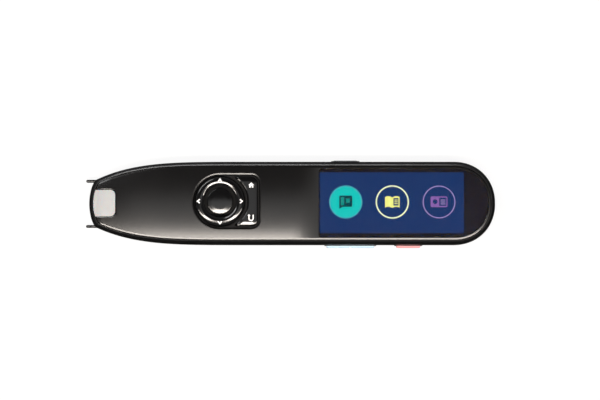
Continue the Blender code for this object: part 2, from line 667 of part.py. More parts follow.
def build_back_shell():
    """The tub that forms the back, the sides and the rounded shoulders."""
    rings = []
    for i in range(EDGE_STEPS + 1):
        a = math.pi / 2 * i / EDGE_STEPS
        rings.append((BACK_ROUND * (1 - math.sin(a)), BACK_RISE * (1 - math.cos(a))))
    top_run = SHOULDER - RIM_LAND
    full_turn = math.radians(72)
    for i in range(EDGE_STEPS + 1):
        a = full_turn * i / EDGE_STEPS
        inset = top_run * (1 - math.cos(a)) / (1 - math.cos(full_turn))
        rings.append((inset, RIM_Z - SHOULDER_DROP * (1 - math.sin(a) / math.sin(full_turn))))
    rings += [
        (SHOULDER, RIM_Z),
        (SHOULDER, RIM_Z - RIM_LIP),
        (WALL, RIM_Z - RIM_LIP - RIM_LEAN),
        (WALL, FLOOR + INNER_RISE),
        (WALL + INNER_CORNER, FLOOR + INNER_CORNER),
        (BACK_ROUND, FLOOR),
    ]
    shell = keep("back_shell", loft(rings), SATIN_BLACK)

    posts = [rod((x, y, FLOOR / 2), UP, POST_RADIUS, POST_TOP - FLOOR / 2) for x, y in POST_PLACES]
    pillars = []
    for place in (FRONT_PILLAR_FROM_NOSE, REAR_PILLAR_FROM_NOSE):
        for side in (1, -1):
            foot = (NOSE_X + place, side * PILLAR_SPREAD, FLOOR / 2)
            pillars.append(rod(foot, UP, PILLAR_RADIUS, BOARD_Z - SEAT_GAP - FLOOR / 2, TINY_SIDES))
    rib_low = FLOOR / 2
    rib_high = FOOT_BASE + LUG_HEIGHT
    ribs = []
    for x, side in ((SPRING_RIB_X, 1), (SWITCH_RIB_X, -1)):
        low = (x, side * LUG_SPREAD - LUG_WIDTH / 2, rib_low)
        high = (x + RIB_DEPTH, side * LUG_SPREAD + LUG_WIDTH / 2, rib_high)
        ribs.append(box(low, high))
    camera_rib_x = SENSOR_BOARD_X + SENSOR_BOARD_THICKNESS + SEAT_GAP
    for side in (1, -1):
        outer = side * SENSOR_BOARD_HALF_WIDTH
        inner = side * (SENSOR_BOARD_HALF_WIDTH - LUG_DEPTH)
        low = (camera_rib_x, min(outer, inner), rib_low)
        high = (camera_rib_x + RIB_DEPTH, max(outer, inner), CAMERA_Z + BARREL_RADIUS)
        ribs.append(box(low, high))
    add(shell, join(posts), join(pillars), join(ribs))

    seats = []
    slots = []
    for x, side, length, _proud in side_key_places():
        half_length = length / 2 + KEY_GAP + SEAT_WALL
        half_height = SIDE_KEY_HEIGHT / 2 + KEY_GAP + SEAT_WALL
        y_in = side * (BODY_HALF - SEAT_INWARD)
        y_out = side * (BODY_HALF + SEAT_PROUD)
        low = (x - half_length, min(y_in, y_out), SIDE_KEY_Z - half_height)
        high = (x + half_length, max(y_in, y_out), SIDE_KEY_Z + half_height)
        seats.append(box(low, high, SEAT_PROUD * SEAT_ROUND_SHARE, 1))
        y_in = side * (BODY_HALF - WALL - CUT_OVERRUN)
        y_out = side * (BODY_HALF + SEAT_PROUD + CUT_OVERRUN)
        grow = KEY_GAP
        low = (x - length / 2 - grow, min(y_in, y_out), SIDE_KEY_Z - SIDE_KEY_HEIGHT / 2 - grow)
        high = (x + length / 2 + grow, max(y_in, y_out), SIDE_KEY_Z + SIDE_KEY_HEIGHT / 2 + grow)
        slots.append(box(low, high))
    add(shell, join(seats))

    drill = []
    for x, y in POST_PLACES:
        bottom = (x, y, -CUT_OVERRUN)
        sunk = CUT_OVERRUN + SCREW_SUNK + SCREW_HEAD_HEIGHT + SEAT_GAP
        drill.append(rod(bottom, UP, SCREW_HEAD_RADIUS + HEAD_GAP, sunk))
    bores = []
    for x, y in POST_PLACES:
        depth = POST_TOP + 2 * CUT_OVERRUN
        bores.append(rod((x, y, -CUT_OVERRUN), UP, SCREW_SHANK_RADIUS + SCREW_GAP, depth))
    holes = []
    through_floor = FLOOR + 2 * CUT_OVERRUN
    for i in range(GRILLE_COLUMNS):
        for j in range(GRILLE_ROWS):
            x = SPEAKER_X + (i - (GRILLE_COLUMNS - 1) / 2) * GRILLE_PITCH
            y = (j - (GRILLE_ROWS - 1) / 2) * GRILLE_PITCH
            holes.append(rod((x, y, -CUT_OVERRUN), UP, GRILLE_HOLE_RADIUS, through_floor, TINY_SIDES))
    mouth = (MICROPHONE_X, MICROPHONE_OFFSET, -CUT_OVERRUN)
    holes.append(rod(mouth, UP, MICROPHONE_HOLE_RADIUS, through_floor, TINY_SIDES))

    aperture = box(
        (NOSE_X - CUT_OVERRUN, -APERTURE_HALF_WIDTH, APERTURE_BOTTOM),
        (NOSE_X + WALL + CUT_OVERRUN, APERTURE_HALF_WIDTH, APERTURE_BOTTOM + APERTURE_HEIGHT),
    )
    tracks = []
    for side in (1, -1):
        y = side * PRONG_SPREAD
        reach = PRONG_WIDTH / 2 + FOOT_GAP
        low = (FOOT_TIP - CUT_OVERRUN, y - reach, FOOT_BASE - FOOT_GAP)
        high = (FOOT_BACK_X + FOOT_TRAVEL + FOOT_GAP, y + reach, FOOT_BASE + PRONG_HEIGHT + FOOT_GAP)
        tracks.append(box(low, high))
    socket_start = USB_MOUTH - USB_LENGTH
    socket_end = TAIL_X + CUT_OVERRUN
    socket = usb_block(USB_HALF_WIDTH + USB_GAP, USB_HEIGHT + 2 * USB_GAP, socket_start, socket_end)
    cut(shell, join(drill), join(bores), join(holes), aperture, join(tracks), join(slots), socket)
    return shell


def side_key_places():
    """(x, side, length, how far it stands proud) of each key on the case's sides."""
    return (
        (DISPLAY_START + VOLUME_FROM_DISPLAY, -1, VOLUME_LENGTH, SIDE_KEY_PROUD),
        (DISPLAY_START + POWER_FROM_DISPLAY, -1, POWER_LENGTH, SIDE_KEY_PROUD),
        (DISPLAY_START + RECORD_FROM_DISPLAY, 1, RECORD_LENGTH, RECORD_PROUD),
    )


def usb_block(half_width, height, x_low, x_high):
    """A block along X with fully rounded sides, the shape of the charging plug."""
    radius = height / 2
    run = half_width - radius
    points = arc((run, 0), radius, -math.pi / 2, math.pi / 2, TINY_SIDES)
    points += arc((-run, 0), radius, math.pi / 2, 1.5 * math.pi, TINY_SIDES)
    shape = prism(points, x_low, x_high)
    shape.transform(Matrix(((0, 0, 1, 0), (1, 0, 0, 0), (0, 1, 0, USB_Z), (0, 0, 0, 1))))
    return shape


def build_face_plate():
    """The glossy cover with its crown, its skirt and the bosses that take the case screws."""
    rings = []
    for i in range(EDGE_STEPS, -1, -1):
        a = math.pi / 2 * i / EDGE_STEPS
        inset = PLATE_INSET + PLATE_EDGE_ROUND * (1 - math.cos(a))
        rings.append((inset, PLATE_EDGE_Z + PLATE_EDGE_ROUND * math.sin(a)))
    rings += [
        (PLATE_INSET, SKIRT_Z),
        (PLATE_INSET + SKIRT, SKIRT_Z),
        (PLATE_INSET + SKIRT, PLATE_UNDER),
    ]
    plate = keep("face_plate", loft(rings, crowned=True), GLOSS_BLACK)
    boss_z = POST_TOP + SEAT_GAP
    boss_length = GLASS_Z - 2 * SEAT_GAP - boss_z
    bosses = [rod((x, y, boss_z), UP, POST_RADIUS, boss_length) for x, y in POST_PLACES]
    add(plate, join(bosses))
    above = FACE_Z + CROWN + CUT_OVERRUN
    glass_seat = contour(POCKET_INSET, GLASS_START - GLASS_GAP, TAIL_X, GLASS_CORNER)
    pocket = prism(glass_seat, GLASS_Z - SEAT_GAP / 2, above)
    opening = box(
        (DISPLAY_START - PANEL_MARGIN - PANEL_GAP, -PANEL_WIDTH / 2 - PANEL_GAP, SKIRT_Z - CUT_OVERRUN),
        (DISPLAY_END + PANEL_TAIL_MARGIN + PANEL_GAP, PANEL_WIDTH / 2 + PANEL_GAP, GLASS_Z),
    )
    pod = prism(pod_outline(0.0), SKIRT_Z - CUT_OVERRUN, above)
    notch = prism(window_outline(WINDOW_GAP), 0, above)
    pilot = SCREW_SHANK_RADIUS + SCREW_GAP
    depth = CUT_OVERRUN + SCREW_REACH + SEAT_GAP
    pilots = [rod((x, y, boss_z - CUT_OVERRUN), UP, pilot, depth) for x, y in POST_PLACES]
    cut(plate, pocket, opening, pod, notch, join(pilots))
    return plate


def window_outline(grow):
    """Outline of the nose window: open to the nose, rounded towards the body."""
    half = WINDOW_HALF_WIDTH + grow
    end = WINDOW_X + WINDOW_LENGTH + grow
    corner = WINDOW_CORNER + grow
    start = NOSE_X - CUT_OVERRUN
    points = arc((end - corner, half - corner), corner, math.pi / 2, 0, CORNER_STEPS)
    upper = [(start, half)] + points
    return upper + [(x, -y) for x, y in reversed(upper)]


def build_nose_window():
    """The frosted light window: it fills the notch in the face plate and keeps its surface."""
    rings = []
    for i in range(EDGE_STEPS, -1, -1):
        a = math.pi / 2 * i / EDGE_STEPS
        inset = PLATE_INSET + PLATE_EDGE_ROUND * (1 - math.cos(a))
        rings.append((inset, PLATE_EDGE_Z + PLATE_EDGE_ROUND * math.sin(a)))
    rings.append((PLATE_INSET, PLATE_UNDER - WINDOW_DEPTH))
    window = keep("nose_window", loft(rings, crowned=True), FROSTED)
    boolean(window, prism(window_outline(-WINDOW_GAP), 0, FACE_Z + CROWN + CUT_OVERRUN), "INTERSECT")
    return window


def build_nose_parts():
    """The clear pane in the scanning aperture, the nib foot with its spring, and its switch."""
    pane_x = NOSE_X + SCAN_WINDOW_RECESS
    low = (pane_x, -APERTURE_HALF_WIDTH + WINDOW_GAP, APERTURE_BOTTOM + WINDOW_GAP)
    high = (
        pane_x + SCAN_WINDOW_THICKNESS,
        APERTURE_HALF_WIDTH - WINDOW_GAP,
        APERTURE_BOTTOM + APERTURE_HEIGHT - WINDOW_GAP,
    )
    keep("scan_window", box(low, high), CLEAR)

    foot_origin = (FOOT_BAR_X, 0, FOOT_BASE)
    bar_half = PRONG_SPREAD + PRONG_WIDTH / 2
    bar = box((FOOT_BAR_X, -bar_half, FOOT_BASE), (FOOT_BACK_X, bar_half, FOOT_BASE + FOOT_BAR_THICKNESS))
    foot = keep("nib_foot", bar, SATIN_BLACK, foot_origin)
    arms = []
    for side in (1, -1):
        y = side * PRONG_SPREAD
        low = (FOOT_TIP, y - PRONG_WIDTH / 2, FOOT_BASE)
        high = (FOOT_BACK_X, y + PRONG_WIDTH / 2, FOOT_BASE + PRONG_HEIGHT)
        arms.append(box(low, high, PRONG_TIP_ROUND))
    lugs = []
    for side in (1, -1):
        y = side * LUG_SPREAD
        low = (FOOT_BACK_X - LUG_DEPTH, y - LUG_WIDTH / 2, FOOT_BASE)
        high = (FOOT_BACK_X, y + LUG_WIDTH / 2, FOOT_BASE + LUG_HEIGHT)
        lugs.append(box(low, high))
    add(foot, join(arms), join(lugs))

    coil = bpy.data.curves.new("nib_spring", "CURVE")
    coil.dimensions = "3D"
    coil.bevel_depth = SPRING_WIRE
    coil.bevel_resolution = 1
    coil.use_fill_caps = True
    line = coil.splines.new("POLY")
    count = SPRING_TURNS * POINTS_PER_CURL
    line.points.add(count)
    run = SPRING_LENGTH - 2 * SPRING_WIRE - SEAT_GAP
    for i in range(count + 1):
        turn = 2 * math.pi * i / POINTS_PER_CURL
        x = SEAT_GAP + SPRING_WIRE + run * i / count
        line.points[i].co = (x, SPRING_RADIUS * math.cos(turn), SPRING_RADIUS * math.sin(turn), 1)
    spring = bpy.data.objects.new("nib_spring", coil)
    spring.location = (FOOT_BACK_X, LUG_SPREAD, LUG_Z)
    coil.materials.append(STEEL)
    PARTS.objects.link(spring)

    back = SWITCH_RIB_X - SEAT_GAP
    front = back - TIP_SWITCH_LENGTH
    low = (front, -LUG_SPREAD - LUG_WIDTH / 2, FOOT_BASE)
    high = (back, -LUG_SPREAD + LUG_WIDTH / 2, FOOT_BASE + LUG_HEIGHT)
    switch = keep("tip_switch", box(low, high), CHIP_BLACK)
    root = (front + PLUNGER_RADIUS, -LUG_SPREAD, LUG_Z)
    add(switch, rod(root, (-1, 0, 0), PLUNGER_RADIUS, 2 * PLUNGER_RADIUS, TINY_SIDES))


def build_camera():
    """Lens barrel, lens, image sensor and its board, and the two lamps beside the line of sight."""
    start = (BARREL_X, 0, CAMERA_Z)
    tube = rod(start, (1, 0, 0), BARREL_RADIUS, BARREL_LENGTH, SMALL_SIDES)
    barrel = keep("lens_barrel", tube, CHIP_BLACK)
    bore_start = (BARREL_X - CUT_OVERRUN, 0, CAMERA_Z)
    cut(barrel, rod(bore_start, (1, 0, 0), BARREL_BORE, BARREL_LENGTH + 2 * CUT_OVERRUN, SMALL_SIDES))
    lens_start = (BARREL_X + LENS_THICKNESS / 2, 0, CAMERA_Z)
    lens = rod(lens_start, (1, 0, 0), BARREL_BORE - LENS_GAP, LENS_THICKNESS, SMALL_SIDES)
    keep("camera_lens", lens, LENS_GLASS)

    half = SENSOR_BOARD_HALF_WIDTH
    low = (SENSOR_BOARD_X, -half, FLOOR + SEAT_GAP)
    high = (SENSOR_BOARD_X + SENSOR_BOARD_THICKNESS, half, CAMERA_Z + BARREL_RADIUS + SENSOR_BOARD_TOP)
    keep("sensor_board", box(low, high), BOARD_GREEN)
    chip_x = SENSOR_BOARD_X - SEAT_GAP - SENSOR_THICKNESS
    low = (chip_x, -SENSOR_SIDE / 2, CAMERA_Z - SENSOR_SIDE / 2)
    high = (chip_x + SENSOR_THICKNESS, SENSOR_SIDE / 2, CAMERA_Z + SENSOR_SIDE / 2)
    keep("image_sensor", box(low, high), CHIP_BLACK)

    board_start = WINDOW_X + WINDOW_LENGTH + SEAT_GAP * 2
    board_end = board_start + LED_BOARD_LENGTH
    board_top = PLATE_UNDER * height_share(board_start) - SEAT_GAP
    board_low = board_top - LED_BOARD_THICKNESS
    half = LED_BOARD_HALF_WIDTH
    middle = (board_start + board_end) / 2
    keep("led_board", box((board_start, -half, board_low), (board_end, half, board_top)), BOARD_GREEN)
    for name, side in (("scan_led_left", 1), ("scan_led_right", -1)):
        lamp_z = board_low - SEAT_GAP - LED_HEIGHT
        lamp = centred_box(middle, side * LED_SPREAD, lamp_z, LED_SIDE, LED_SIDE / 2, LED_HEIGHT)
        keep(name, lamp, LED_YELLOW)


def build_screen():
    """Cover glass, display panel, backlight and the ribbon that joins them to the board."""
    outline = contour(GLASS_INSET, GLASS_START, TAIL_X, GLASS_CORNER)
    keep("display_glass", prism(outline, GLASS_Z, FACE_Z), COVER_GLASS)
    start = DISPLAY_START - PANEL_MARGIN
    end = DISPLAY_END + PANEL_TAIL_MARGIN
    half = PANEL_WIDTH / 2
    keep("display_panel", box((start, -half, PANEL_Z), (end, half, PANEL_Z + PANEL_THICKNESS)), SCREEN_NAVY)
    backlight_top = BACKLIGHT_Z + BACKLIGHT_THICKNESS
    keep("display_backlight", box((start, -half, BACKLIGHT_Z), (end, half, backlight_top)), WHITE_FILM)

    t = RIBBON_THICKNESS
    tail = start - SEAT_GAP
    low = BOARD_TOP + SEAT_GAP
    high = BACKLIGHT_Z + BACKLIGHT_THICKNESS / 2
    profile = [
        (tail, high + t),
        (tail - RIBBON_REACH, high + t),
        (tail - RIBBON_REACH, low),
        (tail + RIBBON_REACH, low),
        (tail + RIBBON_REACH, low + t),
        (tail - RIBBON_REACH + t, low + t),
        (tail - RIBBON_REACH + t, high),
        (tail, high),
    ]
    strip = prism(profile, -RIBBON_WIDTH / 2, RIBBON_WIDTH / 2)
    strip.transform(Matrix(((1, 0, 0, 0), (0, 0, 1, 0), (0, 1, 0, 0), (0, 0, 0, 1))))
    strip.flip_normals()
    keep("display_ribbon", strip, KAPTON)


def build_key_cluster():
    """Key frame, tilting ring on its collar, centre button, rocker key, mat and snap domes."""
    centre = (NAV_CENTRE.x, NAV_CENTRE.y, 0)
    flange_z = PLATE_UNDER - SEAT_GAP - FRAME_FLANGE_THICKNESS
    flange = prism(pod_outline(FRAME_FLANGE), flange_z, flange_z + FRAME_FLANGE_THICKNESS)
    frame = keep("key_frame", flange, SATIN_BLACK)
    add(frame, prism(pod_outline(-FRAME_GAP), flange_z + FRAME_FLANGE_THICKNESS / 2, FRAME_TOP))
    through_low = flange_z - CUT_OVERRUN
    through_high = FRAME_TOP + CUT_OVERRUN
    hole = rod((*centre[:2], through_low), UP, FRAME_HOLE, through_high - through_low, ROUND_SIDES)
    rocker_hole = rocker_mesh(KEY_GAP, through_low, through_high, 0.0)
    cut(frame, hole, rocker_hole)

    pivot = (*centre[:2], RING_PIVOT_Z)
    drop = RING_THICKNESS * RING_DROP_SHARE
    outer_run = RING_OUTER - RING_CREST
    inner_run = RING_CREST - RING_INNER
    ring_profile = [(RING_CREST + outer_run * r, RING_TOP - drop * z) for r, z in RING_OUTER_SHARES]
    ring_profile += [(RING_OUTER, RING_Z), (RING_INNER, RING_Z)]
    ring_profile += [(RING_CREST - inner_run * r, RING_TOP - drop * z) for r, z in RING_INNER_SHARES]
    turned("nav_ring", ring_profile, KEY_BLACK, pivot, closed=True)

    collar_profile = [
        (COLLAR_OUTER, COLLAR_TOP),
        (COLLAR_OUTER, COLLAR_Z),
        (COLLAR_INNER, COLLAR_Z),
        (COLLAR_INNER, COLLAR_TOP),
    ]
    collar = turned("nav_collar", collar_profile, SILICONE, pivot, closed=True)
    nubs = []
    for i in range(4):
        a = math.pi / 2 * i
        foot = (centre[0] + NUB_ORBIT * math.cos(a), centre[1] + NUB_ORBIT * math.sin(a), STEM_Z)
        nubs.append(rod(foot, UP, NUB_RADIUS, COLLAR_Z + COLLAR_THICKNESS / 2 - STEM_Z, TINY_SIDES))
    add(collar, join(nubs))

    dome_profile = [(BUTTON_RADIUS * r, BUTTON_TOP - BUTTON_DOME * z) for r, z in BUTTON_DOME_SHARES]
    dome_profile += [
        (BUTTON_RADIUS, BUTTON_Z),
        (BUTTON_STEM_RADIUS, BUTTON_Z),
        (BUTTON_STEM_RADIUS, STEM_Z),
        (0, STEM_Z),
    ]
    turned("centre_button", dome_profile, KEY_BLACK, (*centre[:2], BUTTON_Z))

    rocker_origin = (ROCKER_STEM_X, centre[1], ROCKER_Z)
    rocker = keep("rocker_key", rocker_mesh(0.0, ROCKER_Z, ROCKER_TOP, KEY_ROUND), KEY_BLACK, rocker_origin)
    stems = []
    for side in (1, -1):
        foot = (ROCKER_STEM_X, centre[1] + side * ROCKER_STEM_SPREAD, STEM_Z)
        stems.append(rod(foot, UP, ROCKER_STEM_RADIUS, ROCKER_Z + KEY_ROUND - STEM_Z, TINY_SIDES))
    add(rocker, join(stems))

    keep("key_mat", prism(pod_outline(-MAT_INSET), MAT_Z, MAT_TOP), SILICONE)
    places = {"dome_centre": (centre[0], centre[1])}
    for name, turn in (("right", 0), ("up", 1), ("left", 2), ("down", 3)):
        a = math.pi / 2 * turn
        places[f"dome_{name}"] = (centre[0] + NUB_ORBIT * math.cos(a), centre[1] + NUB_ORBIT * math.sin(a))
    places["dome_home"] = (ROCKER_STEM_X, centre[1] + ROCKER_STEM_SPREAD)
    places["dome_back"] = (ROCKER_STEM_X, centre[1] - ROCKER_STEM_SPREAD)
    for name, (x, y) in places.items():
        low = BOARD_TOP + SEAT_GAP / 2
        drop = BOARD_TOP + DOME_HEIGHT - low - SEAT_GAP / 2
        profile = [(DOME_RADIUS * r, BOARD_TOP + DOME_HEIGHT - drop * z) for r, z in SNAP_DOME_SHARES]
        profile += [(DOME_RADIUS, low), (0, low)]
        turned(name, profile, STEEL, (x, y, low), SMALL_SIDES)


def rocker_mesh(grow, z_low, z_high, top_round):
    """The rocker's outline: the pod's right-hand part, hollowed round the ring."""
    inset = ROCKER_INSET - grow
    radius = ROCKER_HOLLOW - grow
    half = POD_RADIUS - inset
    corner = POD_CORNER - inset
    end = POD_END - inset
    across = NAV_CENTRE.y
    meet = math.asin(min(1.0, (half - ROCKER_TIP_BACK) / radius))
    points = arc((NAV_CENTRE.x, across), radius, -meet, meet, CORNER_STEPS * 3)
    tip_x = points[-1][0]
    points.append((tip_x, across + half))
    points += arc((end - corner, across + half - corner), corner, math.pi / 2, 0, CORNER_STEPS)
    points += arc((end - corner, across - half + corner), corner, 0, -math.pi / 2, CORNER_STEPS)
    points.append((tip_x, across - half))
    return prism(points, z_low, z_high, top_round)


def build_side_keys():
    """The three keys in the case's sides and the switches they press."""
    names = (("volume_key", KEY_BLUE), ("power_key", KEY_RED), ("record_key", KEY_NAVY))
    for (name, material), (x, side, length, proud) in zip(names, side_key_places()):
        outer = BODY_HALF + proud
        inner = FLANGE_Y - FLANGE_THICKNESS
        ys = (side * outer, side * (FLANGE_Y - FLANGE_THICKNESS / 2))
        low = (x - length / 2, min(ys), SIDE_KEY_Z - SIDE_KEY_HEIGHT / 2)
        high = (x + length / 2, max(ys), SIDE_KEY_Z + SIDE_KEY_HEIGHT / 2)
        key = keep(name, box(low, high, SIDE_KEY_ROUND), material, (x, side * FLANGE_Y, SIDE_KEY_Z))
        ys = (side * FLANGE_Y, side * inner)
        half_height = SIDE_KEY_HEIGHT / 2 + FLANGE_LIP
        low = (x - length / 2 - FLANGE_LIP, min(ys), SIDE_KEY_Z - half_height)
        high = (x + length / 2 + FLANGE_LIP, max(ys), SIDE_KEY_Z + half_height)
        add(key, box(low, high))

    (volume_x, volume_side, *_), (power_x, power_side, *_), (record_x, record_side, *_) = side_key_places()
    switches = {
        "volume_switch_up": (volume_x + VOLUME_SWITCH_SPREAD, volume_side),
        "volume_switch_down": (volume_x - VOLUME_SWITCH_SPREAD, volume_side),
        "power_switch": (power_x, power_side),
        "record_switch": (record_x, record_side),
    }
    for name, (x, side) in switches.items():
        middle = side * (SWITCH_Y - SWITCH_DEPTH / 2)
        body = centred_box(x, middle, SWITCH_Z, SWITCH_LENGTH, SWITCH_DEPTH / 2, SWITCH_HEIGHT)
        keep(name, body, STEEL)


def build_electronics():
    """Main board with its can, chips, battery, loudspeaker and microphone."""
    board_end = TAIL_X - BOARD_TAIL_AIR
    outline = contour(BOARD_INSET, NOSE_X + BOARD_FROM_NOSE, board_end)
    board = keep("main_board", prism(outline, BOARD_Z, BOARD_TOP), BOARD_GREEN)
    notches = []
    for x, y in POST_PLACES:
        foot = (x, y, BOARD_Z - CUT_OVERRUN)
        notches.append(rod(foot, UP, POST_RADIUS + SEAT_GAP, BOARD_THICKNESS + 2 * CUT_OVERRUN))
    cut(board, join(notches))

    low = BOARD_TOP + SEAT_GAP / 2
    lid = centred_box(DISPLAY_CENTRE, 0, low, CAN_LENGTH, CAN_HALF_WIDTH, CAN_HEIGHT)
    can = keep("shield_can", lid, STEEL)
    inner_length = CAN_LENGTH - 2 * CAN_WALL
    inner_half = CAN_HALF_WIDTH - CAN_WALL
    inner_height = CAN_HEIGHT - CAN_WALL + CUT_OVERRUN
    cut(can, centred_box(DISPLAY_CENTRE, 0, low - CUT_OVERRUN, inner_length, inner_half, inner_height))
    chip_x = DISPLAY_CENTRE - (CHIP_SIDE + CHIP_AIR) / 2
    keep("processor", centred_box(chip_x, 0, low, CHIP_SIDE, CHIP_SIDE / 2, CHIP_HEIGHT), CHIP_BLACK)
    memory_x = DISPLAY_CENTRE + (MEMORY_LENGTH + CHIP_AIR) / 2
    keep("memory_chip", centred_box(memory_x, 0, low, MEMORY_LENGTH, CHIP_SIDE / 2, CHIP_HEIGHT), CHIP_BLACK)

    half = BATTERY_HALF_WIDTH
    cell = centred_box(DISPLAY_CENTRE, 0, BATTERY_Z, BATTERY_LENGTH, half, BATTERY_THICKNESS, BATTERY_ROUND)
    keep("battery", cell, FOIL_SILVER)
    protector_x = DISPLAY_CENTRE - BATTERY_LENGTH / 2 - SEAT_GAP - PROTECTOR_LENGTH / 2
    half = BATTERY_HALF_WIDTH * PROTECTOR_WIDTH_SHARE
    protector_z = BATTERY_Z + SEAT_GAP
    protector = centred_box(protector_x, 0, protector_z, PROTECTOR_LENGTH, half, PROTECTOR_THICKNESS)
    keep("battery_protector", protector, BOARD_GREEN)
    socket_x = protector_x - PROTECTOR_LENGTH / 2 - SEAT_GAP - SOCKET_LENGTH
    socket_z = BOARD_Z - SEAT_GAP / 2 - SOCKET_HEIGHT
    socket = centred_box(socket_x, 0, socket_z, SOCKET_LENGTH, SOCKET_HALF_WIDTH, SOCKET_HEIGHT)
    keep("battery_socket", socket, WHITE_FILM)
    for name, side, material in (("battery_lead_red", 1, WIRE_RED), ("battery_lead_black", -1, WIRE_BLACK)):
        lead_z = protector_z + PROTECTOR_THICKNESS + SEAT_GAP + LEAD_RADIUS
        start = Vector((protector_x, side * LEAD_SPREAD, lead_z))
        end = Vector((socket_x, side * LEAD_SPREAD, socket_z - SEAT_GAP / 2))
        lead = bpy.data.curves.new(name, "CURVE")
        lead.dimensions = "3D"
        lead.bevel_depth = LEAD_RADIUS
        lead.bevel_resolution = 1
        lead.use_fill_caps = True
        line = lead.splines.new("POLY")
        line.points.add(LEAD_STEPS)
        for i in range(LEAD_STEPS + 1):
            a = math.pi / 2 * i / LEAD_STEPS
            x = start.x + (end.x - start.x) * math.sin(a)
            z = start.z + (end.z - start.z) * (1 - math.cos(a))
            line.points[i].co = (x, start.y, z, 1)
        lead.materials.append(material)
        PARTS.objects.link(bpy.data.objects.new(name, lead))

    half = SPEAKER_HALF_WIDTH
    cone = centred_box(SPEAKER_X, 0, SPEAKER_Z, SPEAKER_LENGTH, half, SPEAKER_HEIGHT, SPEAKER_ROUND)
    keep("speaker", cone, CHIP_BLACK)
    screen = centred_box(SPEAKER_X, 0, MESH_Z, MESH_LENGTH, MESH_HALF_WIDTH, MESH_THICKNESS)
    keep("speaker_mesh", screen, STEEL)
    low = BOARD_Z - SEAT_GAP / 2 - MICROPHONE_HEIGHT
    half = MICROPHONE_WIDTH / 2
    can = centred_box(MICROPHONE_X, MICROPHONE_OFFSET, low, MICROPHONE_LENGTH, half, MICROPHONE_HEIGHT)
    keep("microphone", can, STEEL)


def build_charging_socket():
    """Metal shell and tongue of the charging socket in the tail."""
    shell_start = USB_MOUTH - USB_LENGTH
    shell = keep("usb_shell", usb_block(USB_HALF_WIDTH, USB_HEIGHT, shell_start, USB_MOUTH), STEEL)
    inner_half = USB_HALF_WIDTH - USB_WALL
    inner_height = USB_HEIGHT - 2 * USB_WALL
    cut(shell, usb_block(inner_half, inner_height, shell_start + USB_WALL, USB_MOUTH + CUT_OVERRUN))
    low = (shell_start + USB_WALL + SEAT_GAP / 2, -TONGUE_HALF_WIDTH, USB_Z - TONGUE_THICKNESS / 2)
    high = (USB_MOUTH - TONGUE_SETBACK, TONGUE_HALF_WIDTH, USB_Z + TONGUE_THICKNESS / 2)
    keep("usb_tongue", box(low, high), CHIP_BLACK)


def build_screws():
    """Four screws that pull the back shell and the face plate together."""
    head_top = SCREW_SUNK + SCREW_HEAD_HEIGHT
    tip = POST_TOP + SEAT_GAP + SCREW_REACH
    for i, (x, y) in enumerate(POST_PLACES, 1):
        profile = [
            (0, tip),
            (SCREW_SHANK_RADIUS * SCREW_TIP_SHARE, tip),
            (SCREW_SHANK_RADIUS, tip - SCREW_SHANK_RADIUS),
            (SCREW_SHANK_RADIUS, head_top),
            (SCREW_HEAD_RADIUS, head_top),
            (SCREW_HEAD_RADIUS, SCREW_SUNK),
            (SCREW_DRIVE_RADIUS, SCREW_SUNK),
            (SCREW_DRIVE_RADIUS * SCREW_DRIVE_SHARE, SCREW_SUNK + SCREW_DRIVE_DEPTH),
            (0, SCREW_SUNK + SCREW_DRIVE_DEPTH),
        ]
        turned(f"case_screw_{i}", profile, STEEL, (x, y, head_top), SMALL_SIDES)


build_back_shell()
build_face_plate()
build_nose_window()
build_nose_parts()
build_camera()
build_screen()
build_key_cluster()
build_side_keys()
build_electronics()
build_charging_socket()
build_screws()
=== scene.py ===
"""Looks of a hand-held scanning pen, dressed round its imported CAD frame.

The pen lies on its flat back. X runs from the nose to the tail, Z points out of the face with the screen, and
Z = 0 is the back. All lengths are in metres. Each class below is one sub-assembly of the pen or the studio.
"""

import logging
import math
from collections.abc import Callable, Iterable, Sequence
from dataclasses import dataclass
from enum import Enum

import bmesh
import bpy
from mathutils import Matrix, Vector


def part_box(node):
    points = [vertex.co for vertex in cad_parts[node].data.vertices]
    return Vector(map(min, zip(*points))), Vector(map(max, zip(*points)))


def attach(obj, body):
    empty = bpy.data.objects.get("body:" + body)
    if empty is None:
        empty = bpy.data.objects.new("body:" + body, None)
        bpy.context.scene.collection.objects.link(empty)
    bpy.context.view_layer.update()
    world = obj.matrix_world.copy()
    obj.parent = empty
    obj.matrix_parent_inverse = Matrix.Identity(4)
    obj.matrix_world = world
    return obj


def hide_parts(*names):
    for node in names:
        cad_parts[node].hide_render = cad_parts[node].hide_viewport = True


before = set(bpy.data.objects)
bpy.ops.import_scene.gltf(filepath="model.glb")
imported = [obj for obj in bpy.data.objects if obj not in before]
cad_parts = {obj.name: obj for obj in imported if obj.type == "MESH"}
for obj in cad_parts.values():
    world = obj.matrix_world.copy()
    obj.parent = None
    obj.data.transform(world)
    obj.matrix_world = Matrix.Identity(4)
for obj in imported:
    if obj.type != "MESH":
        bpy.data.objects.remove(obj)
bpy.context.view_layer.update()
for plain in bpy.data.materials:
    plain.name = f"cad_{plain.name}"

LOG = logging.getLogger("scanning_pen")
MM = 0.001
HALF_TURN = math.pi
QUARTER_TURN = math.pi / 2

Mesh = bpy.types.Mesh
Tree = bpy.types.NodeTree
Socket = bpy.types.NodeSocket
Thing = bpy.types.Object
Point = tuple[float, float]
Ring = tuple[float, float]
Place = Sequence[float]


def linear(code: str) -> tuple[float, float, float, float]:
    """Turns an sRGB hex colour into linear light.

    Args:
        code: Six hex digits after a hash sign.

    Returns:
        Red, green, blue and an alpha of 1.
    """
    parts = [int(code[i : i + 2], 16) / 255 for i in (1, 3, 5)]
    light = [p / 12.92 if p <= 0.04045 else ((p + 0.055) / 1.055) ** 2.4 for p in parts]
    return (light[0], light[1], light[2], 1.0)


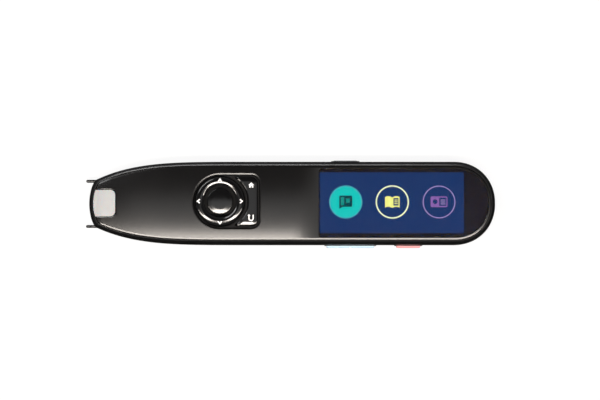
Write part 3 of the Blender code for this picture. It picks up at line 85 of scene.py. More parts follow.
def add_node(tree: Tree, kind: str, inputs: dict | None = None, **settings) -> bpy.types.Node:
    """Adds one node with its settings and links.

    Args:
        tree: The tree that gets the node.
        kind: Blender's name of the node's type.
        inputs: A number, a colour or another node's output for each input, by the input's name or number.
        settings: The node's own properties.

    Returns:
        The new node.
    """
    node = tree.nodes.new(kind)
    for key, value in settings.items():
        setattr(node, key, value)
    for key, value in (inputs or {}).items():
        if isinstance(value, Socket):
            tree.links.new(value, node.inputs[key])
        else:
            node.inputs[key].default_value = value
    return node


def empty_tree(owner: bpy.types.Material | bpy.types.World) -> Tree:
    """Turns on the nodes of a material or world and takes them all out."""
    owner.use_nodes = True
    owner.node_tree.nodes.clear()
    return owner.node_tree


def placed(name: str, data: bpy.types.ID) -> Thing:
    """Makes an object and links it into the scene."""
    made = bpy.data.objects.new(name, data)
    bpy.context.scene.collection.objects.link(made)
    return made


def applied(thing: Thing) -> Mesh:
    """A plain mesh of an object with its modifiers applied."""
    return bpy.data.meshes.new_from_object(thing.evaluated_get(bpy.context.evaluated_depsgraph_get()))


def evenly(start: float, end: float, steps: int) -> list[float]:
    """Values spaced evenly from one to another, both included."""
    return [start + (end - start) * i / steps for i in range(steps + 1)]


def ease(share: float) -> float:
    """A smooth step from 0 to 1, held at both ends."""
    held = min(1.0, max(0.0, share))
    return held * held * (3 - 2 * held)


def curve_through(points: Sequence[Ring]) -> list[Ring]:
    """Draws a smooth line through a few points, both ends included."""
    steps = 4
    padded = [points[0], *points, points[-1]]
    found = []
    for i in range(1, len(padded) - 2):
        before, one, two, after = (Vector(p) for p in padded[i - 1 : i + 3])
        for k in range(steps):
            t = k / steps
            bend = (two - before) * t + (2 * before - 5 * one + 4 * two - after) * t * t
            bend += (3 * one - before - 3 * two + after) * t * t * t
            place = one + bend / 2
            found.append((place.x, place.y))
    return [*found, tuple(points[-1])]


def height_on(profile: Sequence[Ring], at: float) -> float:
    """Reads a profile's second value at a first value, with straight lines between its points."""
    for (x0, z0), (x1, z1) in zip(profile, profile[1:]):
        if x0 <= at <= x1:
            return z0 + (z1 - z0) * (at - x0) / (x1 - x0)
    return profile[0][1] if at < profile[0][0] else profile[-1][1]


def arc(centre: Point, radius: float, start: float, end: float, steps: int) -> list[Point]:
    """Points along a circle's arc in X and Y.

    Args:
        centre: The circle's centre.
        radius: Its radius.
        start: Angle of the first point.
        end: Angle of the last point.
        steps: How many pieces the arc has.

    Returns:
        The points, both ends included.
    """
    x, y = centre
    return [(x + radius * math.cos(a), y + radius * math.sin(a)) for a in evenly(start, end, steps)]


def mirrored(upper: Sequence[Point]) -> list[Point]:
    """Closes half an outline with its mirror image across the pen's middle line."""
    return [*upper, *((x, -y) for x, y in reversed(upper))]


def at_height(points: Iterable[Point], z: float) -> list[Vector]:
    """Lifts a flat outline to a height."""
    return [Vector((x, y, z)) for x, y in points]


def mesh_of(bm: bmesh.types.BMesh) -> Mesh:
    """Turns a bmesh into a mesh whose faces point outwards, and frees the bmesh."""
    bmesh.ops.recalc_face_normals(bm, faces=bm.faces)
    made = bpy.data.meshes.new("shape")
    bm.to_mesh(made)
    bm.free()
    return made


def skin(rings: Sequence[Sequence[Vector]], closed_ends: bool = True) -> Mesh:
    """Skins closed loops of the same number of points, one after another.

    Args:
        rings: The loops, in order.
        closed_ends: Whether the first and the last loop are filled; otherwise the last joins the first.

    Returns:
        The closed mesh.
    """
    bm = bmesh.new()
    loops = [[bm.verts.new(p) for p in ring] for ring in rings]
    count = len(loops[0])
    pairs = list(zip(loops, loops[1:]))
    if closed_ends:
        bm.faces.new(loops[0])
        bm.faces.new(loops[-1])
    else:
        pairs.append((loops[-1], loops[0]))
    for one, other in pairs:
        for i in range(count):
            after = (i + 1) % count
            bm.faces.new((one[i], one[after], other[after], other[i]))
    return mesh_of(bm)


def lathe(profile: Sequence[Ring], centre: Point, sides: int, hollow: bool = False) -> Mesh:
    """Turns a profile of radius and height round an upright axis.

    Args:
        profile: Radius and height of each point, in order.
        centre: Where the axis stands.
        sides: How many sides the turned shape has.
        hollow: Whether the profile closes on itself, as a ring's does.

    Returns:
        The closed mesh.
    """
    spokes = [(math.cos(a), math.sin(a)) for a in evenly(0.0, 2 * HALF_TURN, sides)[:-1]]
    x, y = centre
    rings = [[Vector((x + radius * c, y + radius * s, z)) for c, s in spokes] for radius, z in profile]
    return skin(rings, closed_ends=not hollow)


def rod(foot: Place, radius: float, length: float, sides: int = 32) -> Mesh:
    """An upright round rod that stands on a point."""
    x, y, z = foot
    return lathe([(radius, z), (radius, z + length)], (x, y), sides)


def prism(points: Sequence[Point], low: float, high: float) -> Mesh:
    """Makes a flat outline solid between two heights."""
    return skin([at_height(points, low), at_height(points, high)])


def block(low: Place, high: Place, rounding: float = 0.0, steps: int = 4) -> Mesh:
    """A block between two corners with all its edges rounded.

    Args:
        low: Its lowest corner.
        high: Its highest corner.
        rounding: Radius of its edges.
        steps: How many faces draw each rounding.

    Returns:
        The closed mesh.
    """
    bm = bmesh.new()
    bmesh.ops.create_cube(bm, size=1.0)
    size = Vector(high) - Vector(low)
    middle = (Vector(high) + Vector(low)) / 2
    bmesh.ops.transform(bm, matrix=Matrix.Translation(middle) @ Matrix.Diagonal((*size, 1.0)), verts=bm.verts)
    if rounding:
        bmesh.ops.bevel(bm, geom=bm.edges, offset=rounding, segments=steps, profile=0.5, affect="EDGES")
    return mesh_of(bm)


def join(meshes: Iterable[Mesh]) -> Mesh:
    """Puts several separate closed meshes into one."""
    bm = bmesh.new()
    for mesh in meshes:
        bm.from_mesh(mesh)
    return mesh_of(bm)


def carve(
    mesh: Mesh, add: Iterable[Mesh] = (), cut: Iterable[Mesh] = (), keep: Iterable[Mesh] = ()
) -> Mesh:
    """Works on a closed mesh with other closed meshes, one after another.

    Args:
        mesh: The mesh to work on.
        add: Shapes that are joined to it first.
        cut: Shapes that are then cut out of it.
        keep: Shapes outside which it is then cut away.

    Returns:
        The finished mesh.
    """
    blank = placed("blank", mesh)
    steps = [("UNION", shape) for shape in add]
    steps += [("DIFFERENCE", shape) for shape in cut]
    steps += [("INTERSECT", shape) for shape in keep]
    tools = []
    for operation, shape in steps:
        tool = placed("tool", shape)
        modifier = blank.modifiers.new(operation.lower(), "BOOLEAN")
        modifier.operation = operation
        modifier.solver = "EXACT"
        modifier.object = tool
        tools.append(tool)
    made = applied(blank)
    for used in (*tools, blank):
        bpy.data.objects.remove(used)
    return made


class Surface:
    """What all finishes share: a material whose shader takes its inputs from the finish's own nodes."""

    name: str

    def inputs(self, tree: Tree, place: Socket) -> dict:
        """Adds the finish's own nodes.

        Args:
            tree: The material's tree.
            place: The place on the object, in metres.

        Returns:
            The shader's inputs.
        """
        raise NotImplementedError

    def make(self) -> bpy.types.Material:
        """Builds the material."""
        made = bpy.data.materials.new(self.name)
        tree = empty_tree(made)
        place = add_node(tree, "ShaderNodeTexCoord")
        shader = add_node(tree, "ShaderNodeBsdfPrincipled", self.inputs(tree, place.outputs["Object"]))
        add_node(tree, "ShaderNodeOutputMaterial", {"Surface": shader.outputs[0]})
        return made


@dataclass(frozen=True)
class Grained(Surface):
    """A surface whose colour, gloss and height follow a grain.

    dark and pale are the ends of its colour, gloss is its lowest and highest roughness, grain is the size of
    its grain, and depth is how far the grain stands.
    """

    name: str
    dark: str
    pale: str
    gloss: Point
    grain: float
    depth: float

    def follow(self, tree: Tree, broad: Socket, fine: Socket) -> dict:
        """Lets colour and gloss follow one pattern and height another.

        Args:
            tree: The material's tree.
            broad: The pattern of colour and gloss.
            fine: The pattern of height.

        Returns:
            The shader's inputs for the three.
        """
        colour = add_node(
            tree, "ShaderNodeMix", {0: broad, 6: linear(self.dark), 7: linear(self.pale)}, data_type="RGBA"
        )
        low, high = self.gloss
        gloss = add_node(
            tree,
            "ShaderNodeMapRange",
            {"Value": broad, "From Min": 0.3, "From Max": 0.7, "To Min": low, "To Max": high},
        )
        bump = add_node(tree, "ShaderNodeBump", {"Height": fine, "Strength": 1.0, "Distance": self.depth})
        return {
            "Base Color": colour.outputs[2],
            "Roughness": gloss.outputs["Result"],
            "Normal": bump.outputs["Normal"],
        }


@dataclass(frozen=True)
class Moulded(Grained):
    """A moulded plastic: even colour, fine grain from the tool, and small swings in gloss."""

    ior: float = 1.5
    coat: float = 0.0
    coat_roughness: float = 0.03
    subsurface: float = 0.0
    metallic: float = 0.0
    specular: float = 0.5

    def inputs(self, tree: Tree, place: Socket) -> dict:
        """Adds a broad cloud for colour and gloss, and a fine one for the grain."""
        broad = add_node(
            tree, "ShaderNodeTexNoise", {"Vector": place, "Scale": 1 / (40 * self.grain), "Detail": 4.0}
        )
        fine = add_node(
            tree,
            "ShaderNodeTexNoise",
            {"Vector": place, "Scale": 1 / self.grain, "Detail": 3.0, "Roughness": 0.6},
        )
        return {
            **self.follow(tree, broad.outputs["Fac"], fine.outputs["Fac"]),
            "IOR": self.ior,
            "Metallic": self.metallic,
            "Coat Weight": self.coat,
            "Coat Roughness": self.coat_roughness,
            "Subsurface Weight": self.subsurface,
            "Subsurface Scale": 0.002,
            "Specular IOR Level": self.specular,
        }


@dataclass(frozen=True)
class Brushed(Grained):
    """A rolled or drawn metal: long fine lines along one axis that stretch its gloss."""

    stretch: tuple[float, float, float]

    def inputs(self, tree: Tree, place: Socket) -> dict:
        """Adds noise stretched to lines, which colour, gloss and height all follow."""
        along = add_node(tree, "ShaderNodeMapping", {"Vector": place, "Scale": self.stretch})
        lines = add_node(
            tree,
            "ShaderNodeTexNoise",
            {"Vector": along.outputs["Vector"], "Scale": 1 / self.grain, "Detail": 5.0, "Roughness": 0.65},
        )
        return {**self.follow(tree, lines.outputs["Fac"], lines.outputs["Fac"]), "Metallic": 1.0}


@dataclass(frozen=True)
class Clear(Surface):
    """A clear sheet or lens: light goes through, and faint polish marks break its gloss."""

    name: str
    tint: str
    gloss: Point
    ior: float
    mark: float
    film: float = 0.0

    def inputs(self, tree: Tree, place: Socket) -> dict:
        """Adds the polish marks."""
        marks = add_node(tree, "ShaderNodeTexNoise", {"Vector": place, "Scale": 1 / self.mark, "Detail": 4.0})
        low, high = self.gloss
        gloss = add_node(
            tree,
            "ShaderNodeMapRange",
            {"Value": marks.outputs["Fac"], "From Min": 0.3, "From Max": 0.7, "To Min": low, "To Max": high},
        )
        return {
            "Base Color": linear(self.tint),
            "Roughness": gloss.outputs["Result"],
            "IOR": self.ior,
            "Thin Film Thickness": self.film,
            "Thin Film IOR": 1.22,
            "Transmission Weight": 1.0,
        }


@dataclass(frozen=True)
class Lit(Surface):
    """A lit picture element of the screen: it shines in its own colour, with the faint grid of its dots."""

    name: str
    colour: str
    dim: str
    dot: float = 0.3 * MM

    def inputs(self, tree: Tree, place: Socket) -> dict:
        """Adds the dots' upright lines, broken by a soft cloud."""
        across = add_node(
            tree,
            "ShaderNodeTexWave",
            {"Vector": place, "Scale": 1 / (self.dot * 20), "Distortion": 0.0},
            bands_direction="X",
        )
        cloud = add_node(tree, "ShaderNodeTexNoise", {"Vector": place, "Scale": 60.0, "Detail": 2.0})
        share = add_node(
            tree,
            "ShaderNodeMath",
            {0: across.outputs["Fac"], 1: cloud.outputs["Fac"]},
            operation="MULTIPLY",
        )
        colour = add_node(
            tree,
            "ShaderNodeMix",
            {0: share.outputs[0], 6: linear(self.colour), 7: linear(self.dim)},
            data_type="RGBA",
        )
        return {
            "Base Color": linear("#050506"),
            "Roughness": 0.35,
            "Specular IOR Level": 0.05,
            "Emission Color": colour.outputs[2],
            "Emission Strength": 1.0,
        }


class Finish(Enum):
    """Every finish of the pen."""

    # Spark-eroded ABS: matt black with a fine even grain, about 0.1 mm on a real one and drawn at 0.25 mm.
    CASE = Moulded("satin_black_abs", "#0a0a0b", "#0d0d0e", (0.26, 0.32), 0.25 * MM, 0.003 * MM, specular=0.4)
    # Smooth ABS under clear lacquer: deep black that blurs a lamp into a long soft band.
    FACE = Moulded("lacquered_black_abs", "#0b0b0c", "#0f0e0e", (0.19, 0.22), 0.5 * MM, 0.0004 * MM)
    # Polished ABS of the keys: sharp bright crescents on black.
    KEYS = Moulded("polished_black_abs", "#0a0a0b", "#0e0e0f", (0.09, 0.12), 0.4 * MM, 0.0003 * MM, 1.54)
    # Satin ABS of the button that is pressed most: its crescent of light has soft ends.
    CAP = Moulded("satin_key_abs", "#0a0a0b", "#0e0e0f", (0.12, 0.15), 0.4 * MM, 0.0005 * MM, 1.54)
    # Textured ABS of the recess round the keys: dull black that lets the keys stand out.
    FRAME = Moulded(
        "textured_black_abs", "#060607", "#09090a", (0.40, 0.50), 0.2 * MM, 0.004 * MM, specular=0.12
    )
    # Ink printed under the cover glass: a flat deep black.
    MASK = Moulded("black_ink_print", "#060607", "#0a0a0b", (0.45, 0.55), 0.3 * MM, 0.001 * MM, specular=0.1)
    # Frosted acrylic: milky white that light sinks into, with a glossy skin.
    FROSTED = Moulded(
        "frosted_acrylic", "#939496", "#acadaf", (0.30, 0.38), 0.6 * MM, 0.002 * MM,
        ior=1.49, coat=0.4, coat_roughness=0.1, subsurface=0.3,
    )
    # Moulded ABS in colour, with the soft sheen of a small moulded key.
    BLUE = Moulded("pale_blue_abs", "#a9cbe6", "#bcd9ee", (0.26, 0.34), 0.3 * MM, 0.001 * MM)
    RED = Moulded("coral_red_abs", "#e2868a", "#ea9a9c", (0.26, 0.34), 0.3 * MM, 0.001 * MM)
    NAVY = Moulded("dark_blue_abs", "#2c3a4a", "#36465a", (0.26, 0.34), 0.3 * MM, 0.001 * MM)
    # Silicone rubber: dull black, a little powdery.
    SILICONE = Moulded(
        "black_silicone_rubber", "#141415", "#1c1c1d", (0.62, 0.74), 0.5 * MM, 0.004 * MM, 1.43
    )
    # Pad-printed white ink: slightly raised and satin.
    INK = Moulded("white_ink_print", "#e8e8e8", "#f6f6f6", (0.40, 0.50), 0.2 * MM, 0.001 * MM)
    # Solder mask on glass-fibre board: green lacquer with the weave faintly under it.
    BOARD = Moulded("solder_mask_green", "#0c4a2a", "#126238", (0.30, 0.42), 0.4 * MM, 0.002 * MM)
    # Epoxy moulding compound of the chips: matt grey black.
    CHIP = Moulded("epoxy_compound", "#1d1d1e", "#262627", (0.50, 0.62), 0.1 * MM, 0.003 * MM)
    # Aluminium-laminated pouch: silver foil with shallow creases.
    POUCH = Moulded("laminated_foil", "#a9abae", "#c3c5c8", (0.28, 0.40), 1.5 * MM, 0.03 * MM, metallic=0.7)
    # Polyimide film: amber and slightly glossy.
    AMBER = Moulded("polyimide_film", "#a5630f", "#bd7718", (0.28, 0.36), 0.6 * MM, 0.002 * MM, 1.7)
    # Reflector film: flat white.
    WHITE = Moulded("white_polyester", "#d9dadd", "#e6e7e9", (0.40, 0.50), 0.5 * MM, 0.002 * MM)
    # Phosphor in clear resin: yellow drop.
    LAMP = Moulded("phosphor_resin", "#d9c04a", "#ead671", (0.25, 0.35), 0.2 * MM, 0.002 * MM)
    # Extruded wire insulation: smooth vinyl.
    LEAD_RED = Moulded("red_vinyl", "#a30f10", "#b81616", (0.36, 0.44), 0.3 * MM, 0.001 * MM)
    LEAD_BLACK = Moulded("black_vinyl", "#121212", "#1a1a1a", (0.36, 0.44), 0.3 * MM, 0.001 * MM)
    # Rolled stainless steel: bright with fine lines along the sheet.
    STEEL = Brushed(
        "rolled_stainless_steel", "#b9b7b3", "#d6d4d0", (0.22, 0.34), 0.2 * MM, 0.001 * MM, (0.05, 1.0, 1.0)
    )
    # Gold flash over nickel: the socket's contacts.
    GOLD = Brushed(
        "gold_plated_bronze", "#d9a441", "#f0c266", (0.18, 0.28), 0.1 * MM, 0.0005 * MM, (0.1, 1.0, 1.0)
    )
    # Black-nickelled steel of the screws.
    SCREW = Brushed(
        "blackened_steel", "#3a3a3c", "#56565a", (0.28, 0.38), 0.15 * MM, 0.001 * MM, (1.0, 0.3, 1.0)
    )
    # Float glass with a quarter-wave coat of porous silica: its mirror image is sharp and very faint.
    GLASS = Clear("coated_float_glass", "#f9fafb", (0.015, 0.03), 1.5, 8 * MM, 128.0)
    # Cast acrylic pane: water-clear, with the softer gloss of a cast sheet.
    PANE = Clear("clear_acrylic", "#eef3f5", (0.03, 0.06), 1.49, 2 * MM)
    # Coated optical glass: a faint blue cast and a hard gloss.
    LENS = Clear("lens_glass", "#d6e2f2", (0.01, 0.02), 1.52, 1 * MM)
    # Liquid-crystal dots, about 0.1 mm apart on a real one and drawn as faint upright lines 0.3 mm apart.
    SCREEN = Lit("screen_navy", "#0d3367", "#082d5e")
    TEAL = Lit("screen_teal", "#00c6be", "#04cec5")
    TEAL_RIM = Lit("screen_teal_rim", "#3f9fb0", "#4fb2bf")
    DEEP_TEAL = Lit("screen_deep_teal", "#013f44", "#03484c")
    MID_TEAL = Lit("screen_mid_teal", "#0b8f83", "#109a8c")
    LEMON = Lit("screen_lemon", "#fbfb92", "#f6f57c")
    PALE_LEMON = Lit("screen_pale_lemon", "#f4fcd2", "#ecf6bc")
    LILAC = Lit("screen_lilac", "#a796cf", "#9c7fc4")
    PLUM = Lit("screen_plum", "#8a63ad", "#7f5ba3")

    @property
    def material(self) -> bpy.types.Material:
        """The finish's material, made the first time that it is asked for."""
        return bpy.data.materials.get(self.value.name) or self.value.make()


def piece(
    name: str,
    mesh: Mesh,
    finishes: Sequence[Finish],
    body: str,
    slot: str,
    replaces: Sequence[str] = (),
    sharp: float = 35.0,
) -> Thing:
    """Puts a finished mesh into the scene as a piece of the pen.

    Args:
        name: The piece's name.
        mesh: Its mesh, drawn in place.
        finishes: Its finishes.
        body: The CAD body it moves with.
        slot: The record's material slot; not used.
        replaces: CAD nodes it stands for.
        sharp: Edges that turn by more degrees than this stay crisp.

    Returns:
        The new object.
    """
    mesh.name = name
    mesh.materials.clear()
    for finish in finishes:
        mesh.materials.append(finish.material)
    mesh.shade_smooth()
    mesh.set_sharp_from_angle(angle=math.radians(sharp))
    made = placed(name, mesh)
    flatten = made.modifiers.new("flat_faces", "WEIGHTED_NORMAL")
    flatten.keep_sharp = True
    made.data = applied(made)
    made.data.name = name
    made.modifiers.remove(flatten)
    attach(made, body)
    if replaces:
        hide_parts(*replaces)
    LOG.info("%s: %d faces on body %s", name, len(made.data.polygons), body)
    return made


@dataclass(frozen=True)
class CaseOutline:
    """The outline of the case seen from above, and how its height falls towards the nose."""

    nose_x: float = -72.55 * MM
    tail_x: float = 73.85 * MM
    half_width: float = 15.0 * MM
    nose_half_width: float = 7.35 * MM
    taper_length: float = 59.4 * MM
    taper_power: float = 4.2
    nose_cap: float = 2.7 * MM
    nose_power: float = 2.0
    nose_start: float = math.radians(5)
    tail_cap: float = 14.8 * MM
    tail_power: float = 2.1
    tail_start: float = math.radians(4)
    nose_height: float = 0.72
    slope_length: float = 32.5 * MM
    crown: float = 0.8 * MM
    crown_fade: float = 7.5 * MM
    glass_start: float = 10.35 * MM
    nose_steps: int = 12
    taper_steps: int = 26
    straight_steps: int = 26
    tail_steps: int = 20

    def side(self, x: float) -> tuple[float, float]:
        """Half the width at x before the ends are rounded, and how far the side leans there."""
        left = max(0.0, 1.0 - (x - self.nose_x) / self.taper_length)
        narrowing = self.half_width - self.nose_half_width
        slope = narrowing * self.taper_power * left ** (self.taper_power - 1) / self.taper_length
        return self.half_width - narrowing * left**self.taper_power, math.hypot(1.0, slope)

    @staticmethod
    def cap(angle: float, start: float, power: float) -> tuple[float, float]:
        """Share of a cap's length and width at an angle round the end."""
        along = (math.cos(angle) / math.cos(start)) ** (2 / power)
        return 1 - along, math.sin(angle) ** (2 / power)

    def stations(self, inset: float) -> list[Point]:
        """Places along the outline moved inwards.

        Args:
            inset: How far inwards.

        Returns:
            Pairs of x and half width from the nose to the tail.
        """
        places = []
        for angle in evenly(self.nose_start, QUARTER_TURN, self.nose_steps):
            along, wide = self.cap(angle, self.nose_start, self.nose_power)
            places.append((self.nose_x + inset + self.nose_cap * max(0.0, along), wide))
        taper_end = self.nose_x + self.taper_length
        middle = evenly(self.nose_x + inset + self.nose_cap, taper_end, self.taper_steps)[1:-1]
        middle += evenly(taper_end, self.tail_x - self.tail_cap, self.straight_steps)[:-1]
        places += [(x, 1.0) for x in middle]
        for angle in reversed(evenly(self.tail_start, QUARTER_TURN, self.tail_steps)):
            along, wide = self.cap(angle, self.tail_start, self.tail_power)
            places.append((self.tail_x - inset - (self.tail_cap - inset) * max(0.0, along), wide))
        found = []
        for x, wide in places:
            half, lean = self.side(x)
            found.append((x, (half - inset * lean) * wide))
        return found

    def height_share(self, x: float) -> float:
        """Share of the full height that the case has at x."""
        left = max(0.0, 1.0 - (x - self.nose_x) / self.slope_length)
        return 1 - (1 - self.nose_height) * left * left

    def crown_at(self, x: float, start: float) -> float:
        """Rise of the face's middle above its edges at x."""
        width = (self.side(x)[0] / self.half_width) ** 2
        rising = ease((x - start) / self.nose_cap)
        falling = ease((self.glass_start - x) / self.crown_fade)
        return self.crown * width * rising * falling

    def loft(self, rings: Sequence[Ring], columns: int = 0) -> Mesh:
        """Skins outlines of different inset and height and closes both ends.

        Args:
            rings: Inset and height of each outline, from the face round to the other end.
            columns: Lines of points across the first end, which then gets the face's crown.

        Returns:
            The closed mesh.
        """
        bm = bmesh.new()
        rows = []
        for inset, z in rings:
            outline = self.stations(inset)
            left = [bm.verts.new((x, w, z * self.height_share(x))) for x, w in outline]
            right = [bm.verts.new((x, -w, z * self.height_share(x))) for x, w in outline]
            rows.append((left, right))
        between = []
        inset, z = rings[0]
        outline = self.stations(inset)
        for i in range(columns):
            share = 1 - 2 * (i + 1) / (columns + 1)
            column = []
            for x, w in outline:
                rise = self.crown_at(x, outline[0][0]) * (1 - share * share)
                column.append(bm.verts.new((x, w * share, (z + rise) * self.height_share(x))))
            between.append(column)
        for lines in ([rows[0][0], *between, rows[0][1]], rows[-1]):
            for one, other in zip(lines, lines[1:]):
                for i in range(len(one) - 1):
                    bm.faces.new((one[i], one[i + 1], other[i + 1], other[i]))
        extra = between
        for upper, lower in zip(rows, rows[1:]):
            for up, down in zip(upper, lower):
                for i in range(len(up) - 1):
                    bm.faces.new((up[i], up[i + 1], down[i + 1], down[i]))
            for end in (0, -1):
                across = [column[end] for column in (upper[0], *extra, upper[1])]
                bm.faces.new(across + [lower[1][end], lower[0][end]])
            extra = []
        return mesh_of(bm)

    def contour(self, inset: float, x_low: float, corner: float) -> list[Point]:
        """The outline from a rounded cut across it to the tail, moved inwards by inset.

        Args:
            inset: How far inwards.
            x_low: Where the cut is.
            corner: Radius of the cut's two corners.

        Returns:
            The closed loop's points.
        """
        half, lean = self.side(x_low)
        upper = arc((x_low + corner, half - inset * lean - corner), corner, HALF_TURN, QUARTER_TURN, 8)
        upper += [(x, w) for x, w in self.stations(inset) if x > x_low + corner]
        return mirrored(upper)


@dataclass(frozen=True)
class SideKey:
    """One key in the side of the case: its place, length, side and how far it stands proud."""

    name: str
    finish: Finish
    slot: str
    x: float
    side: int
    length: float
    proud: float
    z: float = 5.3 * MM
    height: float = 3.0 * MM

    def block(self, grow: float, inner: float, outer: float, rounding: float, steps: int = 4) -> Mesh:
        """A block round the key's own outline.

        Args:
            grow: How much larger than the key it is all round.
            inner: Distance of its inner face from the middle of the case.
            outer: Distance of its outer face.
            rounding: Radius of its edges.
            steps: How many faces draw each rounding.

        Returns:
            The block.
        """
        low, high = sorted((self.side * inner, self.side * outer))
        reach = self.length / 2 + grow
        tall = self.height / 2 + grow
        start = (self.x - reach, low, self.z - tall)
        return block(start, (self.x + reach, high, self.z + tall), rounding, steps)


SIDE_KEYS = (
    SideKey("volume_key", Finish.BLUE, "key_blue", 21.75 * MM, -1, 17.2 * MM, 1.0 * MM),
    SideKey("power_key", Finish.RED, "key_red", 42.65 * MM, -1, 8.6 * MM, 1.0 * MM),
    SideKey("record_key", Finish.NAVY, "key_navy", 19.95 * MM, 1, 8.8 * MM, 0.5 * MM),
)

# The screw posts of the back shell and the bosses of the face plate stand on each other, so they share these.
POST_PAIRS = ((-44.05 * MM, 9.5 * MM), (67.45 * MM, 7.4 * MM))
POSTS = tuple((x, side * y) for x, y in POST_PAIRS for side in (1, -1))
POST_RADIUS = 2.1 * MM
SCREW_BORE = 0.85 * MM


@dataclass(frozen=True)
class BackShell:
    """The tub that forms the back, the sides and the rounded shoulders."""

    outline: CaseOutline
    wall: float = 1.5 * MM
    floor: float = 1.4 * MM
    back_round: float = 3.4 * MM
    back_rise: float = 4.4 * MM
    rim: float = 11.4 * MM
    shoulder: float = 1.62 * MM
    shoulder_drop: float = 4.2 * MM
    shoulder_turn: float = math.radians(72)
    land: float = 0.2 * MM
    lip: float = 2.0 * MM
    lean: float = 1.2 * MM
    key_gap: float = 0.2 * MM
    seat_wall: float = 0.5 * MM
    seat_proud: float = 0.3 * MM
    pillar_x: Point = (-35.55 * MM, 1.45 * MM)
    pillar_y: Point = (9.8 * MM, -9.8 * MM)
    pillar_radius: float = 1.2 * MM
    rib_places: tuple[tuple[float, float, float, float], ...] = (
        (-50.15 * MM, 4.5 * MM, 7.1 * MM, 4.4 * MM),
        (-50.45 * MM, -7.1 * MM, -4.5 * MM, 4.4 * MM),
        (-45.85 * MM, 3.4 * MM, 4.6 * MM, 6.8 * MM),
        (-45.85 * MM, -4.6 * MM, -3.4 * MM, 6.8 * MM),
    )
    rib_depth: float = 1.0 * MM
    post_top: float = 7.1 * MM
    pillar_top: float = 6.1 * MM
    speaker_x: float = -28.55 * MM
    grille_pitch: float = 2.0 * MM
    grille_radius: float = 0.6 * MM
    microphone: Point = (61.85 * MM, 6.0 * MM)
    microphone_radius: float = 0.5 * MM
    lead_in: float = 0.25 * MM
    well_radius: float = 1.6 * MM
    well_chamfer: float = 0.3 * MM
    well_depth: float = 1.5 * MM
    aperture_x: Point = (-1.2 * MM, 2.5 * MM)
    aperture_half: float = 4.7 * MM
    aperture_z: Point = (2.0 * MM, 6.2 * MM)
    aperture_round: float = 0.5 * MM
    track_y: float = 8.2 * MM
    track_half: float = 0.7 * MM
    track_clear: float = 3.0 * MM
    track_end: float = -54.5 * MM
    track_z: Point = (1.5 * MM, 4.1 * MM)
    track_round: float = 0.2 * MM
    below: float = -1.0 * MM
    above_floor: float = 1.0 * MM
    rim_crease: Point = (0.04 * MM, 0.06 * MM)
    cove: Point = (0.7 * MM, 2.0 * MM)
    seat_depth: float = 1.0 * MM
    seat_round: float = 0.2 * MM
    slot_depth: float = 2.5 * MM
    slot_clear: float = 2.0 * MM
    slot_round: float = 0.45 * MM

    def rings(self) -> list[Ring]:
        """Inset and height of each outline, from the back round the side and down the inside."""
        found = []
        for a in evenly(0.0, QUARTER_TURN, 10):
            found.append((self.back_round * (1 - math.sin(a)), self.back_rise * (1 - math.cos(a))))
        run = self.shoulder - self.land
        full = self.shoulder_turn
        start = self.rim - self.shoulder_drop
        found += [(0.0, z) for z in evenly(self.back_rise, start, 4)[1:-1]]
        for a in evenly(0.0, full, 12):
            inset = run * (1 - math.cos(a)) / (1 - math.cos(full))
            found.append((inset, self.rim - self.shoulder_drop * (1 - math.sin(a) / math.sin(full))))
        found += [
            (self.shoulder - self.rim_crease[0], self.rim),
            (self.shoulder, self.rim - self.rim_crease[1]),
            (self.shoulder, self.rim - self.lip),
            (self.wall, self.rim - self.lip - self.lean),
            (self.wall, self.floor + self.cove[1]),
            (self.wall + self.cove[0], self.floor + self.cove[0]),
            (self.back_round, self.floor),
        ]
        return found

    def ribs(self) -> Mesh:
        """The posts, pillars and ribs that stand on the floor inside."""
        foot = self.floor / 2
        shapes = [rod((x, y, foot), POST_RADIUS, self.post_top - foot) for x, y in POSTS]
        tall = self.pillar_top - foot
        places = [(x, y, foot) for x in self.pillar_x for y in self.pillar_y]
        shapes += [rod(place, self.pillar_radius, tall, 16) for place in places]
        for x, low, high, top in self.rib_places:
            shapes.append(block((x, low, foot), (x + self.rib_depth, high, top)))
        return join(shapes)

    def holes(self) -> Mesh:
        """The loudspeaker's and the microphone's holes, each with a small lead-in."""
        pitch = self.grille_pitch
        places = [(self.speaker_x + i * pitch, j * pitch) for i in range(-2, 3) for j in range(-1, 2)]
        radii = [self.grille_radius] * len(places) + [self.microphone_radius]
        shapes = []
        for place, radius in zip([*places, self.microphone], radii):
            lead = radius + self.lead_in
            profile = [(lead, self.below), (lead, 0.0), (radius, self.lead_in)]
            profile.append((radius, self.floor + self.above_floor))
            shapes.append(lathe(profile, place, 24))
        return join(shapes)

    def screw_wells(self) -> Mesh:
        """The wells that the screw heads sit in, with a chamfered mouth."""
        wide = self.well_radius + self.well_chamfer
        profile = [(wide, self.below), (wide, 0.0)]
        profile += [(self.well_radius, self.well_chamfer), (self.well_radius, self.well_depth)]
        return join(lathe(profile, place, 48) for place in POSTS)

    def aperture(self) -> Mesh:
        """The scanning opening in the nose."""
        start, end = (self.outline.nose_x + x for x in self.aperture_x)
        low, high = self.aperture_z
        half = self.aperture_half
        return block((start, -half, low), (end, half, high), self.aperture_round)

    def foot_tracks(self) -> Mesh:
        """The two slots that the feet slide in."""
        start = self.outline.nose_x - self.track_clear
        low, high = self.track_z
        tracks = []
        for y in (self.track_y, -self.track_y):
            corner = (self.track_end, y + self.track_half, high)
            tracks.append(block((start, y - self.track_half, low), corner, self.track_round))
        return join(tracks)

